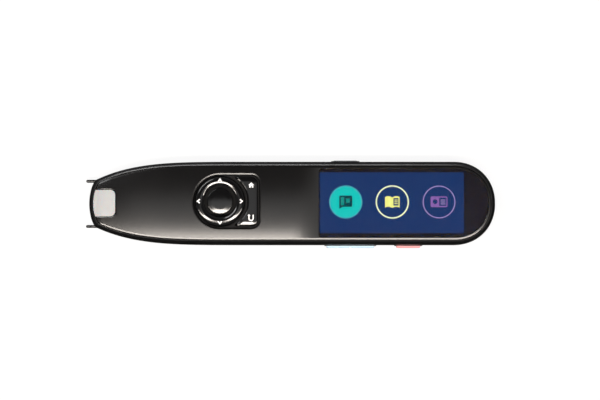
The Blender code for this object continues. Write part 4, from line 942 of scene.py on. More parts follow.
    def build(self) -> None:
        """Makes the shell as one piece."""
        half = self.outline.half_width
        grown = self.seat_wall + self.key_gap
        seat = (half - self.seat_depth, half + self.seat_proud, self.seat_round)
        slot = (half - self.slot_depth, half + self.slot_clear, self.slot_round)
        seats = [key.block(grown, *seat) for key in SIDE_KEYS]
        slots = [key.block(self.key_gap, *slot) for key in SIDE_KEYS]
        bores = [rod((x, y, self.below), SCREW_BORE, self.post_top + 2.0 * MM) for x, y in POSTS]
        mesh = carve(
            self.outline.loft(self.rings()),
            add=[self.ribs(), join(seats)],
            cut=[
                self.screw_wells(),
                join(bores),
                self.holes(),
                self.aperture(),
                self.foot_tracks(),
                join(slots),
                ChargingSocket().opening(),
            ],
        )
        piece("back_shell_body", mesh, [Finish.CASE], "case", "satin_black", ["back_shell"])


@dataclass(frozen=True)
class FacePlate:
    """The glossy crowned cover, and the frosted window let into its nose."""

    outline: CaseOutline
    inset: float = 1.76 * MM
    edge_round: float = 0.65 * MM
    skirt: float = 0.8 * MM
    skirt_z: float = 8.4 * MM
    under: float = 10.3 * MM
    face_z: float = 12.0 * MM
    glass_z: float = 11.2 * MM
    seat_inset: float = 2.55 * MM
    seat_z: float = 11.1 * MM
    opening_low: Point = (10.55 * MM, -11.9 * MM)
    opening_high: Point = (63.35 * MM, 11.9 * MM)
    boss_z: float = 7.3 * MM
    boss_height: float = 3.5 * MM
    nav: Point = (-25.05 * MM, 0.55 * MM)
    pod_radius: float = 9.6 * MM
    pod_end: float = -10.8 * MM
    pod_corner: float = 3.1 * MM
    pod_edge: float = 0.33 * MM
    window_end: float = -62.6 * MM
    window_half: float = 4.86 * MM
    window_corner: float = 2.0 * MM
    window_gap: float = 0.05 * MM
    window_edge: float = 0.2 * MM
    window_shrink: float = 0.1 * MM
    window_under: float = 7.9 * MM
    seat_corner: float = 1.0 * MM
    seat_gap: float = 0.1 * MM
    cut_from: float = 7.4 * MM
    cut_below: float = 1.0 * MM
    cut_above: float = 15.0 * MM
    columns: int = 29

    def rim(self) -> list[Ring]:
        """Inset and height of each outline of the rim: a narrow slope, then a tight round edge."""
        line = ((0.65, 0.0), (0.60, 0.005), (0.16, 0.080), (0.08, 0.12), (0.03, 0.20), (0.0, 0.45))
        return [(self.inset + inward * MM, self.face_z - drop * MM) for inward, drop in line]

    def rings(self) -> list[Ring]:
        """Inset and height of each outline of the plate, from its face down its edge and back up inside."""
        inner = self.inset + self.skirt
        return [*self.rim(), (self.inset, self.skirt_z), (inner, self.skirt_z), (inner, self.under)]

    def surface(self, x: float, y: float) -> float:
        """Height of the crowned face at a point."""
        half, lean = self.outline.side(x)
        width = half - (self.inset + self.edge_round) * lean
        share = min(1.0, abs(y) / width)
        start = self.outline.nose_x + self.inset + self.edge_round
        rise = self.outline.crown_at(x, start) * (1 - share * share)
        return (self.face_z + rise) * self.outline.height_share(x)

    def pod(self, grow: float) -> list[Point]:
        """Outline of the key cluster: a half circle to the nose, a rounded block to the screen."""
        steps = 10
        radius = self.pod_radius + grow
        corner = self.pod_corner + grow
        nav_x, across = self.nav
        end = self.pod_end + grow
        centre_x = end - corner
        centre_y = radius - corner
        straight = [(x, across - radius) for x in evenly(nav_x, centre_x, steps)[1:-1]]
        return [
            *arc(self.nav, radius, QUARTER_TURN, 3 * QUARTER_TURN, steps * 6),
            *straight,
            *arc((centre_x, across - centre_y), corner, -QUARTER_TURN, 0, steps),
            *((end, y) for y in evenly(across - centre_y, across + centre_y, steps)[1:-1]),
            *arc((centre_x, across + centre_y), corner, 0, QUARTER_TURN, steps),
            *((x, 2 * across - y) for x, y in reversed(straight)),
        ]

    def rolled_cutter(self, loop: Callable[[float], list[Point]], low: float, radius: float) -> Mesh:
        """A cutter whose sides flare where they meet the face, so that the cut edge comes out rounded.

        Args:
            loop: Gives the outline grown by a distance.
            low: Height of the cutter's lower end.
            radius: Radius of the rounded edge.

        Returns:
            The closed mesh.
        """
        rings = [at_height(loop(0.0), low)]
        flare = ((0.0, 1.0), (0.04, 0.62), (0.12, 0.44), (0.25, 0.34), (1.0, 0.13), (1.5, 0.0), (2.0, -0.14))
        for share, drop in flare:
            grown = loop(radius * share)
            rings.append([Vector((x, y, self.surface(x, y) - radius * drop)) for x, y in grown])
        rings.append(at_height(grown, self.face_z + 3.0 * MM))
        return skin(rings)

    def window_loop(self, grow: float) -> list[Point]:
        """Outline of the nose window: open to the nose, rounded towards the body."""
        half = self.window_half + grow
        end = self.window_end + grow
        corner = self.window_corner + grow
        start = self.outline.nose_x - 1.0 * MM
        upper = [(x, half) for x in evenly(start, end - corner, 12)[:-1]]
        return mirrored(upper + arc((end - corner, half - corner), corner, QUARTER_TURN, 0, 10))

    def window_hole(self, grow: float) -> list[Point]:
        """Outline of the opening for the nose window, which leaves a fine gap round it."""
        return self.window_loop(self.window_gap + grow)

    def build(self) -> None:
        """Makes the plate and the window as two pieces."""
        bosses = join(rod((x, y, self.boss_z), POST_RADIUS, self.boss_height) for x, y in POSTS)
        bores = join(rod((x, y, self.boss_z - 1.0 * MM), SCREW_BORE, 3.6 * MM) for x, y in POSTS)
        seat_x = self.outline.glass_start - self.seat_gap
        loop = self.outline.contour(self.seat_inset, seat_x, self.seat_corner)
        mesh = carve(
            self.outline.loft(self.rings(), self.columns),
            add=[bosses],
            cut=[
                prism(loop, self.seat_z, self.cut_above),
                block((*self.opening_low, self.cut_from), (*self.opening_high, self.glass_z)),
                self.rolled_cutter(self.pod, self.cut_from, self.pod_edge),
                self.rolled_cutter(self.window_hole, self.cut_below, self.window_edge),
                bores,
            ],
        )
        piece("face_plate_cover", mesh, [Finish.FACE], "case", "gloss_black", ["face_plate"], 14)
        front = self.outline.loft([*self.rim(), (self.inset, self.window_under)], self.columns)
        inside = prism(self.window_loop(-self.window_shrink), self.cut_below, self.cut_above)
        window = carve(front, keep=[inside])
        piece("nose_window_pane", window, [Finish.FROSTED], "case", "frosted", ["nose_window"], 40)


class Mark(Enum):
    """The white marks printed on the keys, as outlines in millimetres round their own middle."""

    ARROW = ((-0.75, -0.45), (0.0, 0.75), (0.75, -0.45), (0.45, -0.55), (0.0, -0.15), (-0.45, -0.55))
    CHEVRON = ((-0.85, -0.30), (0.0, 0.72), (0.85, -0.30), (0.50, -0.58), (0.0, 0.12), (-0.50, -0.58))
    HOUSE = (
        *((-1.0, 0.0), (0.0, 0.95), (1.0, 0.0), (0.7, 0.0), (0.7, -0.9), (0.22, -0.9)),
        *((0.22, -0.3), (-0.22, -0.3), (-0.22, -0.9), (-0.7, -0.9), (-0.7, 0.0)),
    )
    BENT_ARROW = (
        (1.0, 0.95),
        *arc((0.05, -0.35), 0.95, 0.0, -HALF_TURN, 10),
        *((-0.9, 0.55), (-1.25, 0.55), (-0.7, 1.15), (-0.15, 0.55), (-0.5, 0.55)),
        *arc((0.05, -0.35), 0.55, -HALF_TURN, 0.0, 10),
        (0.6, 0.95),
    )


@dataclass(frozen=True)
class KeyCluster:
    """The raised frame with the direction ring, the centre button and the hollowed rocker key.

    The lines of the ring are distances and drops in millimetres from its crest. The button's line is shares
    of its radius and drops. The rocker key's is insets of its outer edges and of its hollow edge, and drops.
    """

    plate: FacePlate
    frame_top: float = 12.0 * MM
    frame_low: float = 9.7 * MM
    frame_gap: float = 0.15 * MM
    frame_edge: float = 0.2 * MM
    flange: float = 1.0 * MM
    flange_low: float = 9.4 * MM
    flange_high: float = 10.1 * MM
    hole: float = 9.1 * MM
    hole_lip: float = 0.12 * MM
    cut_low: float = 8.4 * MM
    cut_high: float = 13.0 * MM
    ring_outer: float = 8.8 * MM
    ring_inner: float = 5.7 * MM
    crest: float = 7.1 * MM
    ring_top: float = 13.17 * MM
    ring_low: float = 10.5 * MM
    ring_outer_line: tuple[Ring, ...] = (
        *((0.0, 0.0), (0.10, 0.008), (0.22, 0.028), (0.95, 0.185)),
        *((1.25, 0.31), (1.5, 0.50), (1.65, 0.75), (1.7, 1.05)),
    )
    ring_inner_line: tuple[Ring, ...] = (
        *((0.0, 0.0), (0.05, 0.006), (0.12, 0.02), (0.35, 0.066)),
        *((0.75, 0.166), (1.25, 0.46), (1.4, 0.85)),
    )
    button_radius: float = 4.65 * MM
    button_top: float = 13.0 * MM
    button_low: float = 10.6 * MM
    button_line: tuple[Ring, ...] = (
        *((0.005, 0.0), (0.2, 0.012), (0.43, 0.065), (0.6, 0.13), (0.76, 0.245)),
        *((0.93, 0.385), (0.965, 0.44), (0.985, 0.56), (1.0, 0.85)),
    )
    stem_radius: float = 1.5 * MM
    stem_low: float = 7.95 * MM
    rocker_top: float = 12.6 * MM
    rocker_low: float = 10.6 * MM
    rocker_inset: float = 0.85 * MM
    rocker_gap: float = 0.2 * MM
    rocker_tip: float = 0.8 * MM
    rocker_line: tuple[tuple[float, float, float], ...] = (
        *((0.0, 0.0, 0.65), (0.01, 0.01, 0.46), (0.04, 0.03, 0.33), (0.10, 0.07, 0.262)),
        *((0.20, 0.11, 0.226), (0.55, 0.18, 0.164), (0.90, 0.25, 0.105)),
        *((1.45, 0.42, 0.012), (1.60, 0.50, 0.0), (1.70, 0.56, 0.0)),
    )
    rocker_stem: Point = (-13.6 * MM, 5.9 * MM)
    rocker_stem_radius: float = 1.2 * MM
    rocker_stem_length: float = 3.0 * MM
    hollow: float = 10.0 * MM
    hollow_gap: float = 0.4 * MM
    mark_orbit: float = 7.62 * MM
    mark_rise: float = 0.02 * MM
    mark_sink: float = 0.05 * MM
    house_at: Point = (-13.85 * MM, 6.35 * MM)
    bent_arrow_at: Point = (-13.95 * MM, -5.2 * MM)

    def ring_height(self, radius: float) -> float:
        """Height of the ring's top surface at a distance from its middle."""
        line = self.ring_outer_line if radius >= self.crest else self.ring_inner_line
        return self.ring_top - MM * height_on(curve_through(line), abs(radius - self.crest) / MM)

    def build_frame(self) -> None:
        """Makes the raised frame with its flange."""
        rings = [at_height(self.plate.pod(-self.frame_gap), self.frame_low)]
        for a in evenly(0.0, QUARTER_TURN, 4):
            loop = self.plate.pod(-self.frame_gap - self.frame_edge * (1 - math.cos(a)))
            rings.append(at_height(loop, self.frame_top - self.frame_edge * (1 - math.sin(a))))
        wide = self.hole + self.hole_lip
        bore = [
            (self.hole, self.cut_low),
            (self.hole, self.frame_top - self.hole_lip),
            (wide, self.frame_top),
            (wide, self.cut_high),
        ]
        mesh = carve(
            skin(rings),
            add=[prism(self.plate.pod(self.flange), self.flange_low, self.flange_high)],
            cut=[
                lathe(bore, self.plate.nav, 160),
                prism(self.rocker_loop(-self.rocker_gap, self.rocker_gap), self.cut_low, self.cut_high),
            ],
        )
        piece("key_frame_surround", mesh, [Finish.FRAME], "case", "satin_black", ["key_frame"])

    def build_ring(self) -> None:
        """Makes the direction ring with its rounded crest."""
        outer = curve_through(self.ring_outer_line)
        inner = curve_through(self.ring_inner_line)
        profile = [(self.crest + x * MM, self.ring_top - z * MM) for x, z in outer]
        profile += [(self.ring_outer, self.ring_low), (self.ring_inner, self.ring_low)]
        profile += [(self.crest - x * MM, self.ring_top - z * MM) for x, z in reversed(inner[1:])]
        mesh = lathe(profile, self.plate.nav, 160, hollow=True)
        piece("direction_ring", mesh, [Finish.KEYS], "nav_ring", "key_black", ["nav_ring"], 50)

    def build_button(self) -> None:
        """Makes the domed centre button with its stem."""
        profile = [(self.stem_radius, self.stem_low), (self.stem_radius, self.button_low)]
        profile.append((self.button_radius, self.button_low))
        dome = curve_through(self.button_line)
        profile += [(self.button_radius * x, self.button_top - z * MM) for x, z in reversed(dome)]
        mesh = lathe(profile, self.plate.nav, 128)
        piece("centre_button_cap", mesh, [Finish.CAP], "centre_button", "key_black", ["centre_button"], 50)

    def rocker_loop(self, inset: float, hollow_inset: float) -> list[Point]:
        """Outline of the rocker key: rounded to the screen, hollowed round the ring.

        Args:
            inset: How far the outer edges lie inside the key's own.
            hollow_inset: How far the hollow edge lies inside it.

        Returns:
            The closed loop's points.
        """
        gone = self.rocker_inset + inset
        across = self.plate.nav[1]
        radius = self.hollow + hollow_inset - (self.hollow_gap if inset < 0 else 0.0)
        half = self.plate.pod_radius - gone
        corner = self.plate.pod_corner - gone
        stop = self.plate.pod_end - gone - corner
        meet = math.asin(min(1.0, (half - self.rocker_tip) / radius))
        points = arc(self.plate.nav, radius, -meet, meet, 48)
        tip_x = points[-1][0]
        points += [(x, across + half) for x in evenly(tip_x, stop, 8)[:-1]]
        points += arc((stop, across + half - corner), corner, QUARTER_TURN, 0, 10)
        points += arc((stop, across - half + corner), corner, 0, -QUARTER_TURN, 10)
        return points + [(x, across - half) for x in evenly(stop, tip_x, 8)[1:]]

    def build_rocker(self) -> None:
        """Makes the rocker key: broad rounded outer edges, a tight edge round the hollow, and two stems."""
        rings = [at_height(self.rocker_loop(0.0, 0.0), self.rocker_low)]
        for outer, inner, drop in self.rocker_line:
            rings.append(at_height(self.rocker_loop(outer * MM, inner * MM), self.rocker_top - drop * MM))
        x, reach = self.rocker_stem
        places = [(x, self.plate.nav[1] + y, self.stem_low) for y in (reach, -reach)]
        stems = join(rod(foot, self.rocker_stem_radius, self.rocker_stem_length, 24) for foot in places)
        mesh = carve(skin(rings), add=[stems])
        piece("rocker_key_cap", mesh, [Finish.KEYS], "rocker_key", "key_black", ["rocker_key"], 50)

    def print_of(
        self, mark: Mark, centre: Point, turn: float, height: Callable[[float, float], float]
    ) -> Mesh:
        """A thin print that lies on a surface.

        Args:
            mark: The mark that is printed.
            centre: Where its middle goes.
            turn: How far it is turned.
            height: Gives the surface's height at a point.

        Returns:
            The closed mesh.
        """
        outline = mark.value
        cos = math.cos(turn)
        sin = math.sin(turn)
        points = []
        for one, other in zip(outline, [*outline[1:], outline[0]]):
            for x, y in zip(evenly(one[0], other[0], 3)[:-1], evenly(one[1], other[1], 3)[:-1]):
                points.append((centre[0] + MM * (x * cos - y * sin), centre[1] + MM * (x * sin + y * cos)))
        bm = bmesh.new()
        top = [bm.verts.new((x, y, height(x, y) + self.mark_rise)) for x, y in points]
        low = [bm.verts.new((x, y, height(x, y) - self.mark_sink)) for x, y in points]
        for i in range(len(points)):
            after = (i + 1) % len(points)
            bm.faces.new((top[i], top[after], low[after], low[i]))
        bmesh.ops.triangulate(bm, faces=[bm.faces.new(top), bm.faces.new(low)])
        return mesh_of(bm)

    def build_marks(self) -> None:
        """Makes the white marks on the ring and on the rocker key."""
        nav_x, nav_y = self.plate.nav

        def on_ring(x: float, y: float) -> float:
            """Height of the ring under a point."""
            return self.ring_height(math.hypot(x - nav_x, y - nav_y))

        def on_rocker(x: float, y: float) -> float:
            """Height of the rocker key's flat top."""
            return self.rocker_top

        prints = []
        for i, mark in enumerate((Mark.CHEVRON, Mark.ARROW, Mark.CHEVRON, Mark.CHEVRON)):
            a = QUARTER_TURN * i
            centre = (nav_x + self.mark_orbit * math.cos(a), nav_y + self.mark_orbit * math.sin(a))
            prints.append(self.print_of(mark, centre, a - QUARTER_TURN, on_ring))
        piece("ring_marks", join(prints), [Finish.INK], "nav_ring", "white_plastic")
        prints = [
            self.print_of(Mark.HOUSE, self.house_at, 0.0, on_rocker),
            self.print_of(Mark.BENT_ARROW, self.bent_arrow_at, 0.0, on_rocker),
        ]
        piece("rocker_marks", join(prints), [Finish.INK], "rocker_key", "white_plastic")

    def build(self) -> None:
        """Makes every piece of the cluster."""
        self.build_frame()
        self.build_ring()
        self.build_button()
        self.build_rocker()
        self.build_marks()


Layer = tuple[Mesh, Finish]


@dataclass(frozen=True)
class Pictogram:
    """One round picture on the screen, drawn in thin lit layers."""

    name: str
    x: float
    y: float = 0.36 * MM
    base: float = 11.0 * MM
    layer: float = 0.02 * MM

    def disc(self, outer: float, inner: float, level: int, finish: Finish) -> Layer:
        """A disc, or a ring if it has an inner radius."""
        low = self.base - self.layer
        high = self.base + self.layer * level
        profile = [(outer, low), (outer, high)]
        if inner:
            profile += [(inner, high), (inner, low)]
        return lathe(profile, (self.x, self.y), 96, hollow=inner > 0), finish

    def shape(self, points: Sequence[Point], level: int, finish: Finish) -> Layer:
        """A flat outline in millimetres round the picture's middle."""
        moved = [(self.x + x * MM, self.y + y * MM) for x, y in points]
        return prism(moved, self.base - self.layer, self.base + self.layer * level), finish

    def panel(self, low: Point, high: Point, corner: float, level: int, finish: Finish) -> Layer:
        """A flat rectangle with rounded corners."""
        (x0, y0), (x1, y1) = low, high
        centres = (
            (x1 - corner, y1 - corner),
            (x0 + corner, y1 - corner),
            (x0 + corner, y0 + corner),
            (x1 - corner, y0 + corner),
        )
        points = []
        for quarter, centre in enumerate(centres):
            start = QUARTER_TURN * quarter
            points += arc(centre, corner, start, start + QUARTER_TURN, 5)
        return self.shape(points, level, finish)

    def lines(self, start: float, end: float, lowest: Sequence[float], finish: Finish) -> list[Layer]:
        """Short thick lines, as of text, above each other on the third layer."""
        return [self.panel((start, y), (end, y + 0.28), 0.05, 3, finish) for y in lowest]

    def show(self, layers: Sequence[Layer]) -> None:
        """Puts the layers together as one piece."""
        finishes = []
        bm = bmesh.new()
        for mesh, finish in layers:
            if finish not in finishes:
                finishes.append(finish)
            start = len(bm.faces)
            bm.from_mesh(mesh)
            bm.faces.ensure_lookup_table()
            for face in bm.faces[start:]:
                face.material_index = finishes.index(finish)
        mesh = bpy.data.meshes.new(self.name)
        bm.to_mesh(mesh)
        bm.free()
        indices = [p.material_index for p in mesh.polygons]
        made = piece(self.name, mesh, finishes, "case", "screen")
        made.data.polygons.foreach_set("material_index", indices)


@dataclass(frozen=True)
class Screen:
    """The cover glass, the ink border under it and the three pictograms on the lit panel."""

    outline: CaseOutline
    start: Point = (10.8 * MM, -10.8 * MM)
    end: Point = (62.3 * MM, 10.95 * MM)
    glass_z: float = 11.2 * MM
    face_z: float = 12.0 * MM
    glass_inset: float = 2.65 * MM
    glass_edge: float = 0.15 * MM
    glass_corner: float = 1.0 * MM
    ink_inset: float = 0.07 * MM
    ink_corner: float = 0.95 * MM
    ink_under: Point = (0.05 * MM, 0.01 * MM)
    lit_z: Point = (10.9 * MM, 11.4 * MM)

    def build_glass(self) -> None:
        """Makes the cover glass with its ground edge."""
        profile = (
            (0.0, self.glass_z),
            (0.0, self.face_z - self.glass_edge),
            (0.05 * MM, self.face_z - 0.04 * MM),
            (self.glass_edge, self.face_z),
        )
        rings = []
        for inset, z in profile:
            start = self.outline.glass_start + inset
            loop = self.outline.contour(self.glass_inset + inset, start, self.glass_corner)
            rings.append(at_height(loop, z))
        piece("cover_glass_pane", skin(rings), [Finish.GLASS], "case", "cover_glass", ["display_glass"], 30)

    def build_border(self) -> None:
        """Makes the ink border: the glass's outline with the lit area left open."""
        inset = self.ink_inset
        start = self.outline.glass_start + inset
        loop = self.outline.contour(self.glass_inset + inset, start, self.ink_corner)
        low, high = self.ink_under
        lit_low, lit_high = self.lit_z
        sheet = prism(loop, self.glass_z - low, self.glass_z - high)
        border = carve(sheet, cut=[block((*self.start, lit_low), (*self.end, lit_high))])
        piece("glass_ink_border", border, [Finish.MASK], "case", "gloss_black")

    def build_bubble(self) -> None:
        """Makes the bubble: a full disc with a speech bubble that holds a panel."""
        art = Pictogram("picture_bubble", 20.0 * MM)
        art.show(
            [
                art.disc(5.95 * MM, 5.5 * MM, 1, Finish.TEAL_RIM),
                art.disc(5.55 * MM, 0.0, 1, Finish.TEAL),
                art.panel((-2.35, -1.75), (2.35, 2.3), 0.35, 2, Finish.DEEP_TEAL),
                art.shape([(-2.35, -1.2), (-2.35, -2.6), (-0.9, -1.6)], 2, Finish.DEEP_TEAL),
                art.panel((-1.75, -1.15), (1.75, 1.75), 0.15, 3, Finish.MID_TEAL),
                art.panel((-0.6, -1.15), (1.75, 1.75), 0.1, 4, Finish.DEEP_TEAL),
                art.panel((0.1, -0.3), (1.4, 1.2), 0.1, 5, Finish.MID_TEAL),
            ]
        )

    def build_book(self) -> None:
        """Makes the open book: two like pages, with lines of text on one."""
        art = Pictogram("picture_book", 36.68 * MM)
        top = ((0.0, 1.6), (0.9, 2.05), (1.9, 2.1), (2.6, 1.75))
        page = (*top, (2.6, -2.0), (1.9, -1.75), (1.0, -1.75), (0.0, -2.1))
        art.show(
            [
                art.disc(5.98 * MM, 5.48 * MM, 1, Finish.PALE_LEMON),
                art.shape([(-x, y) for x, y in page], 1, Finish.LEMON),
                art.shape(page, 1, Finish.LEMON),
                art.panel((0.4, -1.3), (2.2, 1.4), 0.1, 2, Finish.SCREEN),
                *art.lines(0.75, 1.95, (-0.75, -0.1, 0.55), Finish.LEMON),
            ]
        )

    def build_card(self) -> None:
        """Makes the card of two parts: a dot on one and lines of text on the other."""
        art = Pictogram("picture_card", 53.42 * MM)
        art.show(
            [
                art.disc(5.85 * MM, 5.52 * MM, 1, Finish.LILAC),
                art.panel((-3.0, -1.85), (3.0, 2.0), 0.5, 1, Finish.PLUM),
                art.panel((0.1, -1.4), (2.65, 1.55), 0.2, 2, Finish.SCREEN),
                *art.lines(0.55, 2.3, (-0.85, -0.15, 0.55), Finish.LILAC),
                art.panel((-2.25, -0.75), (-0.55, 0.95), 0.85, 2, Finish.SCREEN),
            ]
        )

    def build(self) -> None:
        """Makes every piece of the screen."""
        self.build_glass()
        self.build_border()
        self.build_bubble()
        self.build_book()
        self.build_card()


@dataclass(frozen=True)
class SideKeyCaps:
    """The three coloured keys in the sides, each with the flange that holds it in."""

    outline: CaseOutline
    flange_y: float = 13.2 * MM
    flange: float = 0.6 * MM
    lip: float = 0.5 * MM
    rounding: float = 0.45 * MM
    groove_from: float = 10.0 * MM
    groove_radius: float = 0.8 * MM
    groove_centre: float = 0.55 * MM
    groove_clear: float = 1.0 * MM

    def build(self) -> None:
        """Makes each key; the long one has a shallow groove across its middle."""
        for key in SIDE_KEYS:
            outer = self.outline.half_width + key.proud
            cap = key.block(0.0, self.flange_y - self.flange / 2, outer, self.rounding, 6)
            flange = key.block(self.lip, self.flange_y - self.flange, self.flange_y, 0.1 * MM, 2)
            grooves = []
            if key.length > self.groove_from:
                low = key.z - key.height / 2 - self.groove_clear
                foot = (key.x, key.side * (outer + self.groove_centre), low)
                grooves.append(rod(foot, self.groove_radius, key.height + 2 * self.groove_clear, 48))
            mesh = carve(cap, add=[flange], cut=grooves)
            piece(f"{key.name}_cap", mesh, [key.finish], key.name, key.slot, [key.name])


@dataclass(frozen=True)
class NibFoot:
    """The sliding part whose two thin feet touch the paper in front of the nose."""

    base: float = 1.7 * MM
    tip: float = -73.85 * MM
    bar_x: float = -58.55 * MM
    back_x: float = -55.55 * MM
    bar_height: float = 0.6 * MM
    spread: float = 8.2 * MM
    arm_half: float = 0.5 * MM
    arm_height: float = 2.2 * MM
    lug_y: float = 5.8 * MM
    lug_half: float = 1.3 * MM
    lug_depth: float = 1.2 * MM
    lug_height: float = 2.7 * MM
    overlap: float = 0.05 * MM
    bar_round: float = 0.1 * MM
    arm_round: float = 0.42 * MM
    lug_round: float = 0.15 * MM

    def build(self) -> None:
        """Makes the bar, the two feet with rounded tips, and the two lugs."""
        half = self.spread + self.arm_half
        high = (self.back_x, half, self.base + self.bar_height)
        bar = block((self.bar_x, -half, self.base), high, self.bar_round, 2)
        arms = []
        lugs = []
        for side in (1, -1):
            y = side * self.spread
            high = (self.back_x - self.overlap, y + self.arm_half, self.base + self.arm_height)
            arms.append(block((self.tip, y - self.arm_half, self.base), high, self.arm_round, 6))
            y = side * self.lug_y
            low = (self.back_x - self.lug_depth, y - self.lug_half, self.base + self.overlap)
            high = (self.back_x, y + self.lug_half, self.base + self.lug_height)
            lugs.append(block(low, high, self.lug_round, 3))
        mesh = carve(bar, add=[join(arms), join(lugs)])
        piece("nib_foot_arms", mesh, [Finish.KEYS], "nib_foot", "satin_black", ["nib_foot"])


@dataclass(frozen=True)
class ChargingSocket:
    """The rounded metal mouth in the tail with its tongue."""

    z: float = 4.5 * MM
    half_width: float = 4.47 * MM
    height: float = 3.2 * MM
    wall: float = 0.3 * MM
    mouth: float = 73.25 * MM
    length: float = 7.4 * MM
    gap: float = 0.15 * MM
    opening_x: Point = (65.8 * MM, 75.5 * MM)
    tongue_round: float = 0.12 * MM

    def loop(self, grow: float, x: float) -> list[Vector]:
        """The rounded outline at a place along the pen, grown by a distance."""
        steps = 16
        radius = self.height / 2 + grow
        run = self.half_width - self.height / 2
        points = arc((run, 0), radius, -QUARTER_TURN, QUARTER_TURN, steps)
        points += arc((-run, 0), radius, QUARTER_TURN, 3 * QUARTER_TURN, steps)
        return [Vector((x, y, self.z + z)) for y, z in points]

    def opening(self) -> Mesh:
        """The opening that the socket needs in the shell, with a gap all round."""
        return skin([self.loop(self.gap, x) for x in self.opening_x])

    def build(self) -> None:
        """Makes the drawn shell with its rolled mouth, and the tongue."""
        start = self.mouth - self.length
        rings = [
            self.loop(0.0, start),
            self.loop(0.0, self.mouth - 0.12 * MM),
            self.loop(-0.06 * MM, self.mouth),
            self.loop(-self.wall + 0.04 * MM, self.mouth),
            self.loop(-self.wall, self.mouth - 0.15 * MM),
            self.loop(-self.wall, start + self.wall),
        ]
        piece("socket_shell", skin(rings), [Finish.STEEL], "case", "steel", ["usb_shell"])
        tongue = block(*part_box("usb_tongue"), self.tongue_round, 3)
        piece("socket_tongue", tongue, [Finish.CHIP], "case", "dark_plastic", ["usb_tongue"])


class RepeatedPart:
    """A small part that Geometry Nodes sets at each of a row or grid of points."""

    def __init__(self, name: str, part: Mesh, finish: Finish) -> None:
        """Builds the node tree.

        Args:
            name: Name of the tree.
            part: The mesh that is repeated, drawn round the origin.
            finish: What it is made of.
        """
        self.source = bpy.data.objects.new(f"{name}_source", part)
        self.tree = bpy.data.node_groups.new(name, "GeometryNodeTree")
        face = self.tree.interface
        face.new_socket("Geometry", in_out="INPUT", socket_type="NodeSocketGeometry")
        self.part = face.new_socket("Part", in_out="INPUT", socket_type="NodeSocketObject")
        self.swing = face.new_socket("Swing", in_out="INPUT", socket_type="NodeSocketFloat")
        face.new_socket("Geometry", in_out="OUTPUT", socket_type="NodeSocketGeometry")
        enter = add_node(self.tree, "NodeGroupInput")
        info = add_node(self.tree, "GeometryNodeObjectInfo", {"Object": enter.outputs["Part"]})
        turn = add_node(
            self.tree,
            "FunctionNodeRandomValue",
            {"Max": enter.outputs["Swing"], "Seed": 7},
            data_type="FLOAT",
        )
        spin = add_node(self.tree, "ShaderNodeCombineXYZ", {"Z": turn.outputs[1]})
        points = add_node(self.tree, "GeometryNodeMeshToPoints", {"Mesh": enter.outputs["Geometry"]})
        copies = add_node(
            self.tree,
            "GeometryNodeInstanceOnPoints",
            {
                "Points": points.outputs["Points"],
                "Instance": info.outputs["Geometry"],
                "Rotation": spin.outputs["Vector"],
            },
        )
        real = add_node(self.tree, "GeometryNodeRealizeInstances", {"Geometry": copies.outputs["Instances"]})
        dressed = add_node(
            self.tree,
            "GeometryNodeSetMaterial",
            {"Geometry": real.outputs["Geometry"], "Material": finish.material},
        )
        add_node(self.tree, "NodeGroupOutput", {"Geometry": dressed.outputs["Geometry"]})

    def place(self, points: Sequence[Place], swing: float = 0.0) -> Mesh:
        """Sets the part at each point.

        Args:
            points: Where the part goes.
            swing: The largest angle that a part is turned by, so that no two are alike.

        Returns:
            One plain mesh with every copy.
        """
        mesh = bpy.data.meshes.new("places")
        mesh.from_pydata([tuple(p) for p in points], [], [])
        carrier = placed("carrier", mesh)
        modifier = carrier.modifiers.new("repeat", "NODES")
        modifier.node_group = self.tree
        modifier[self.part.identifier] = self.source
        modifier[self.swing.identifier] = swing
        carrier.update_tag()
        made = applied(carrier)
        bpy.data.objects.remove(carrier)
        return made

    def discard(self) -> None:
        """Takes the source part away when every copy is made."""
        bpy.data.objects.remove(self.source)


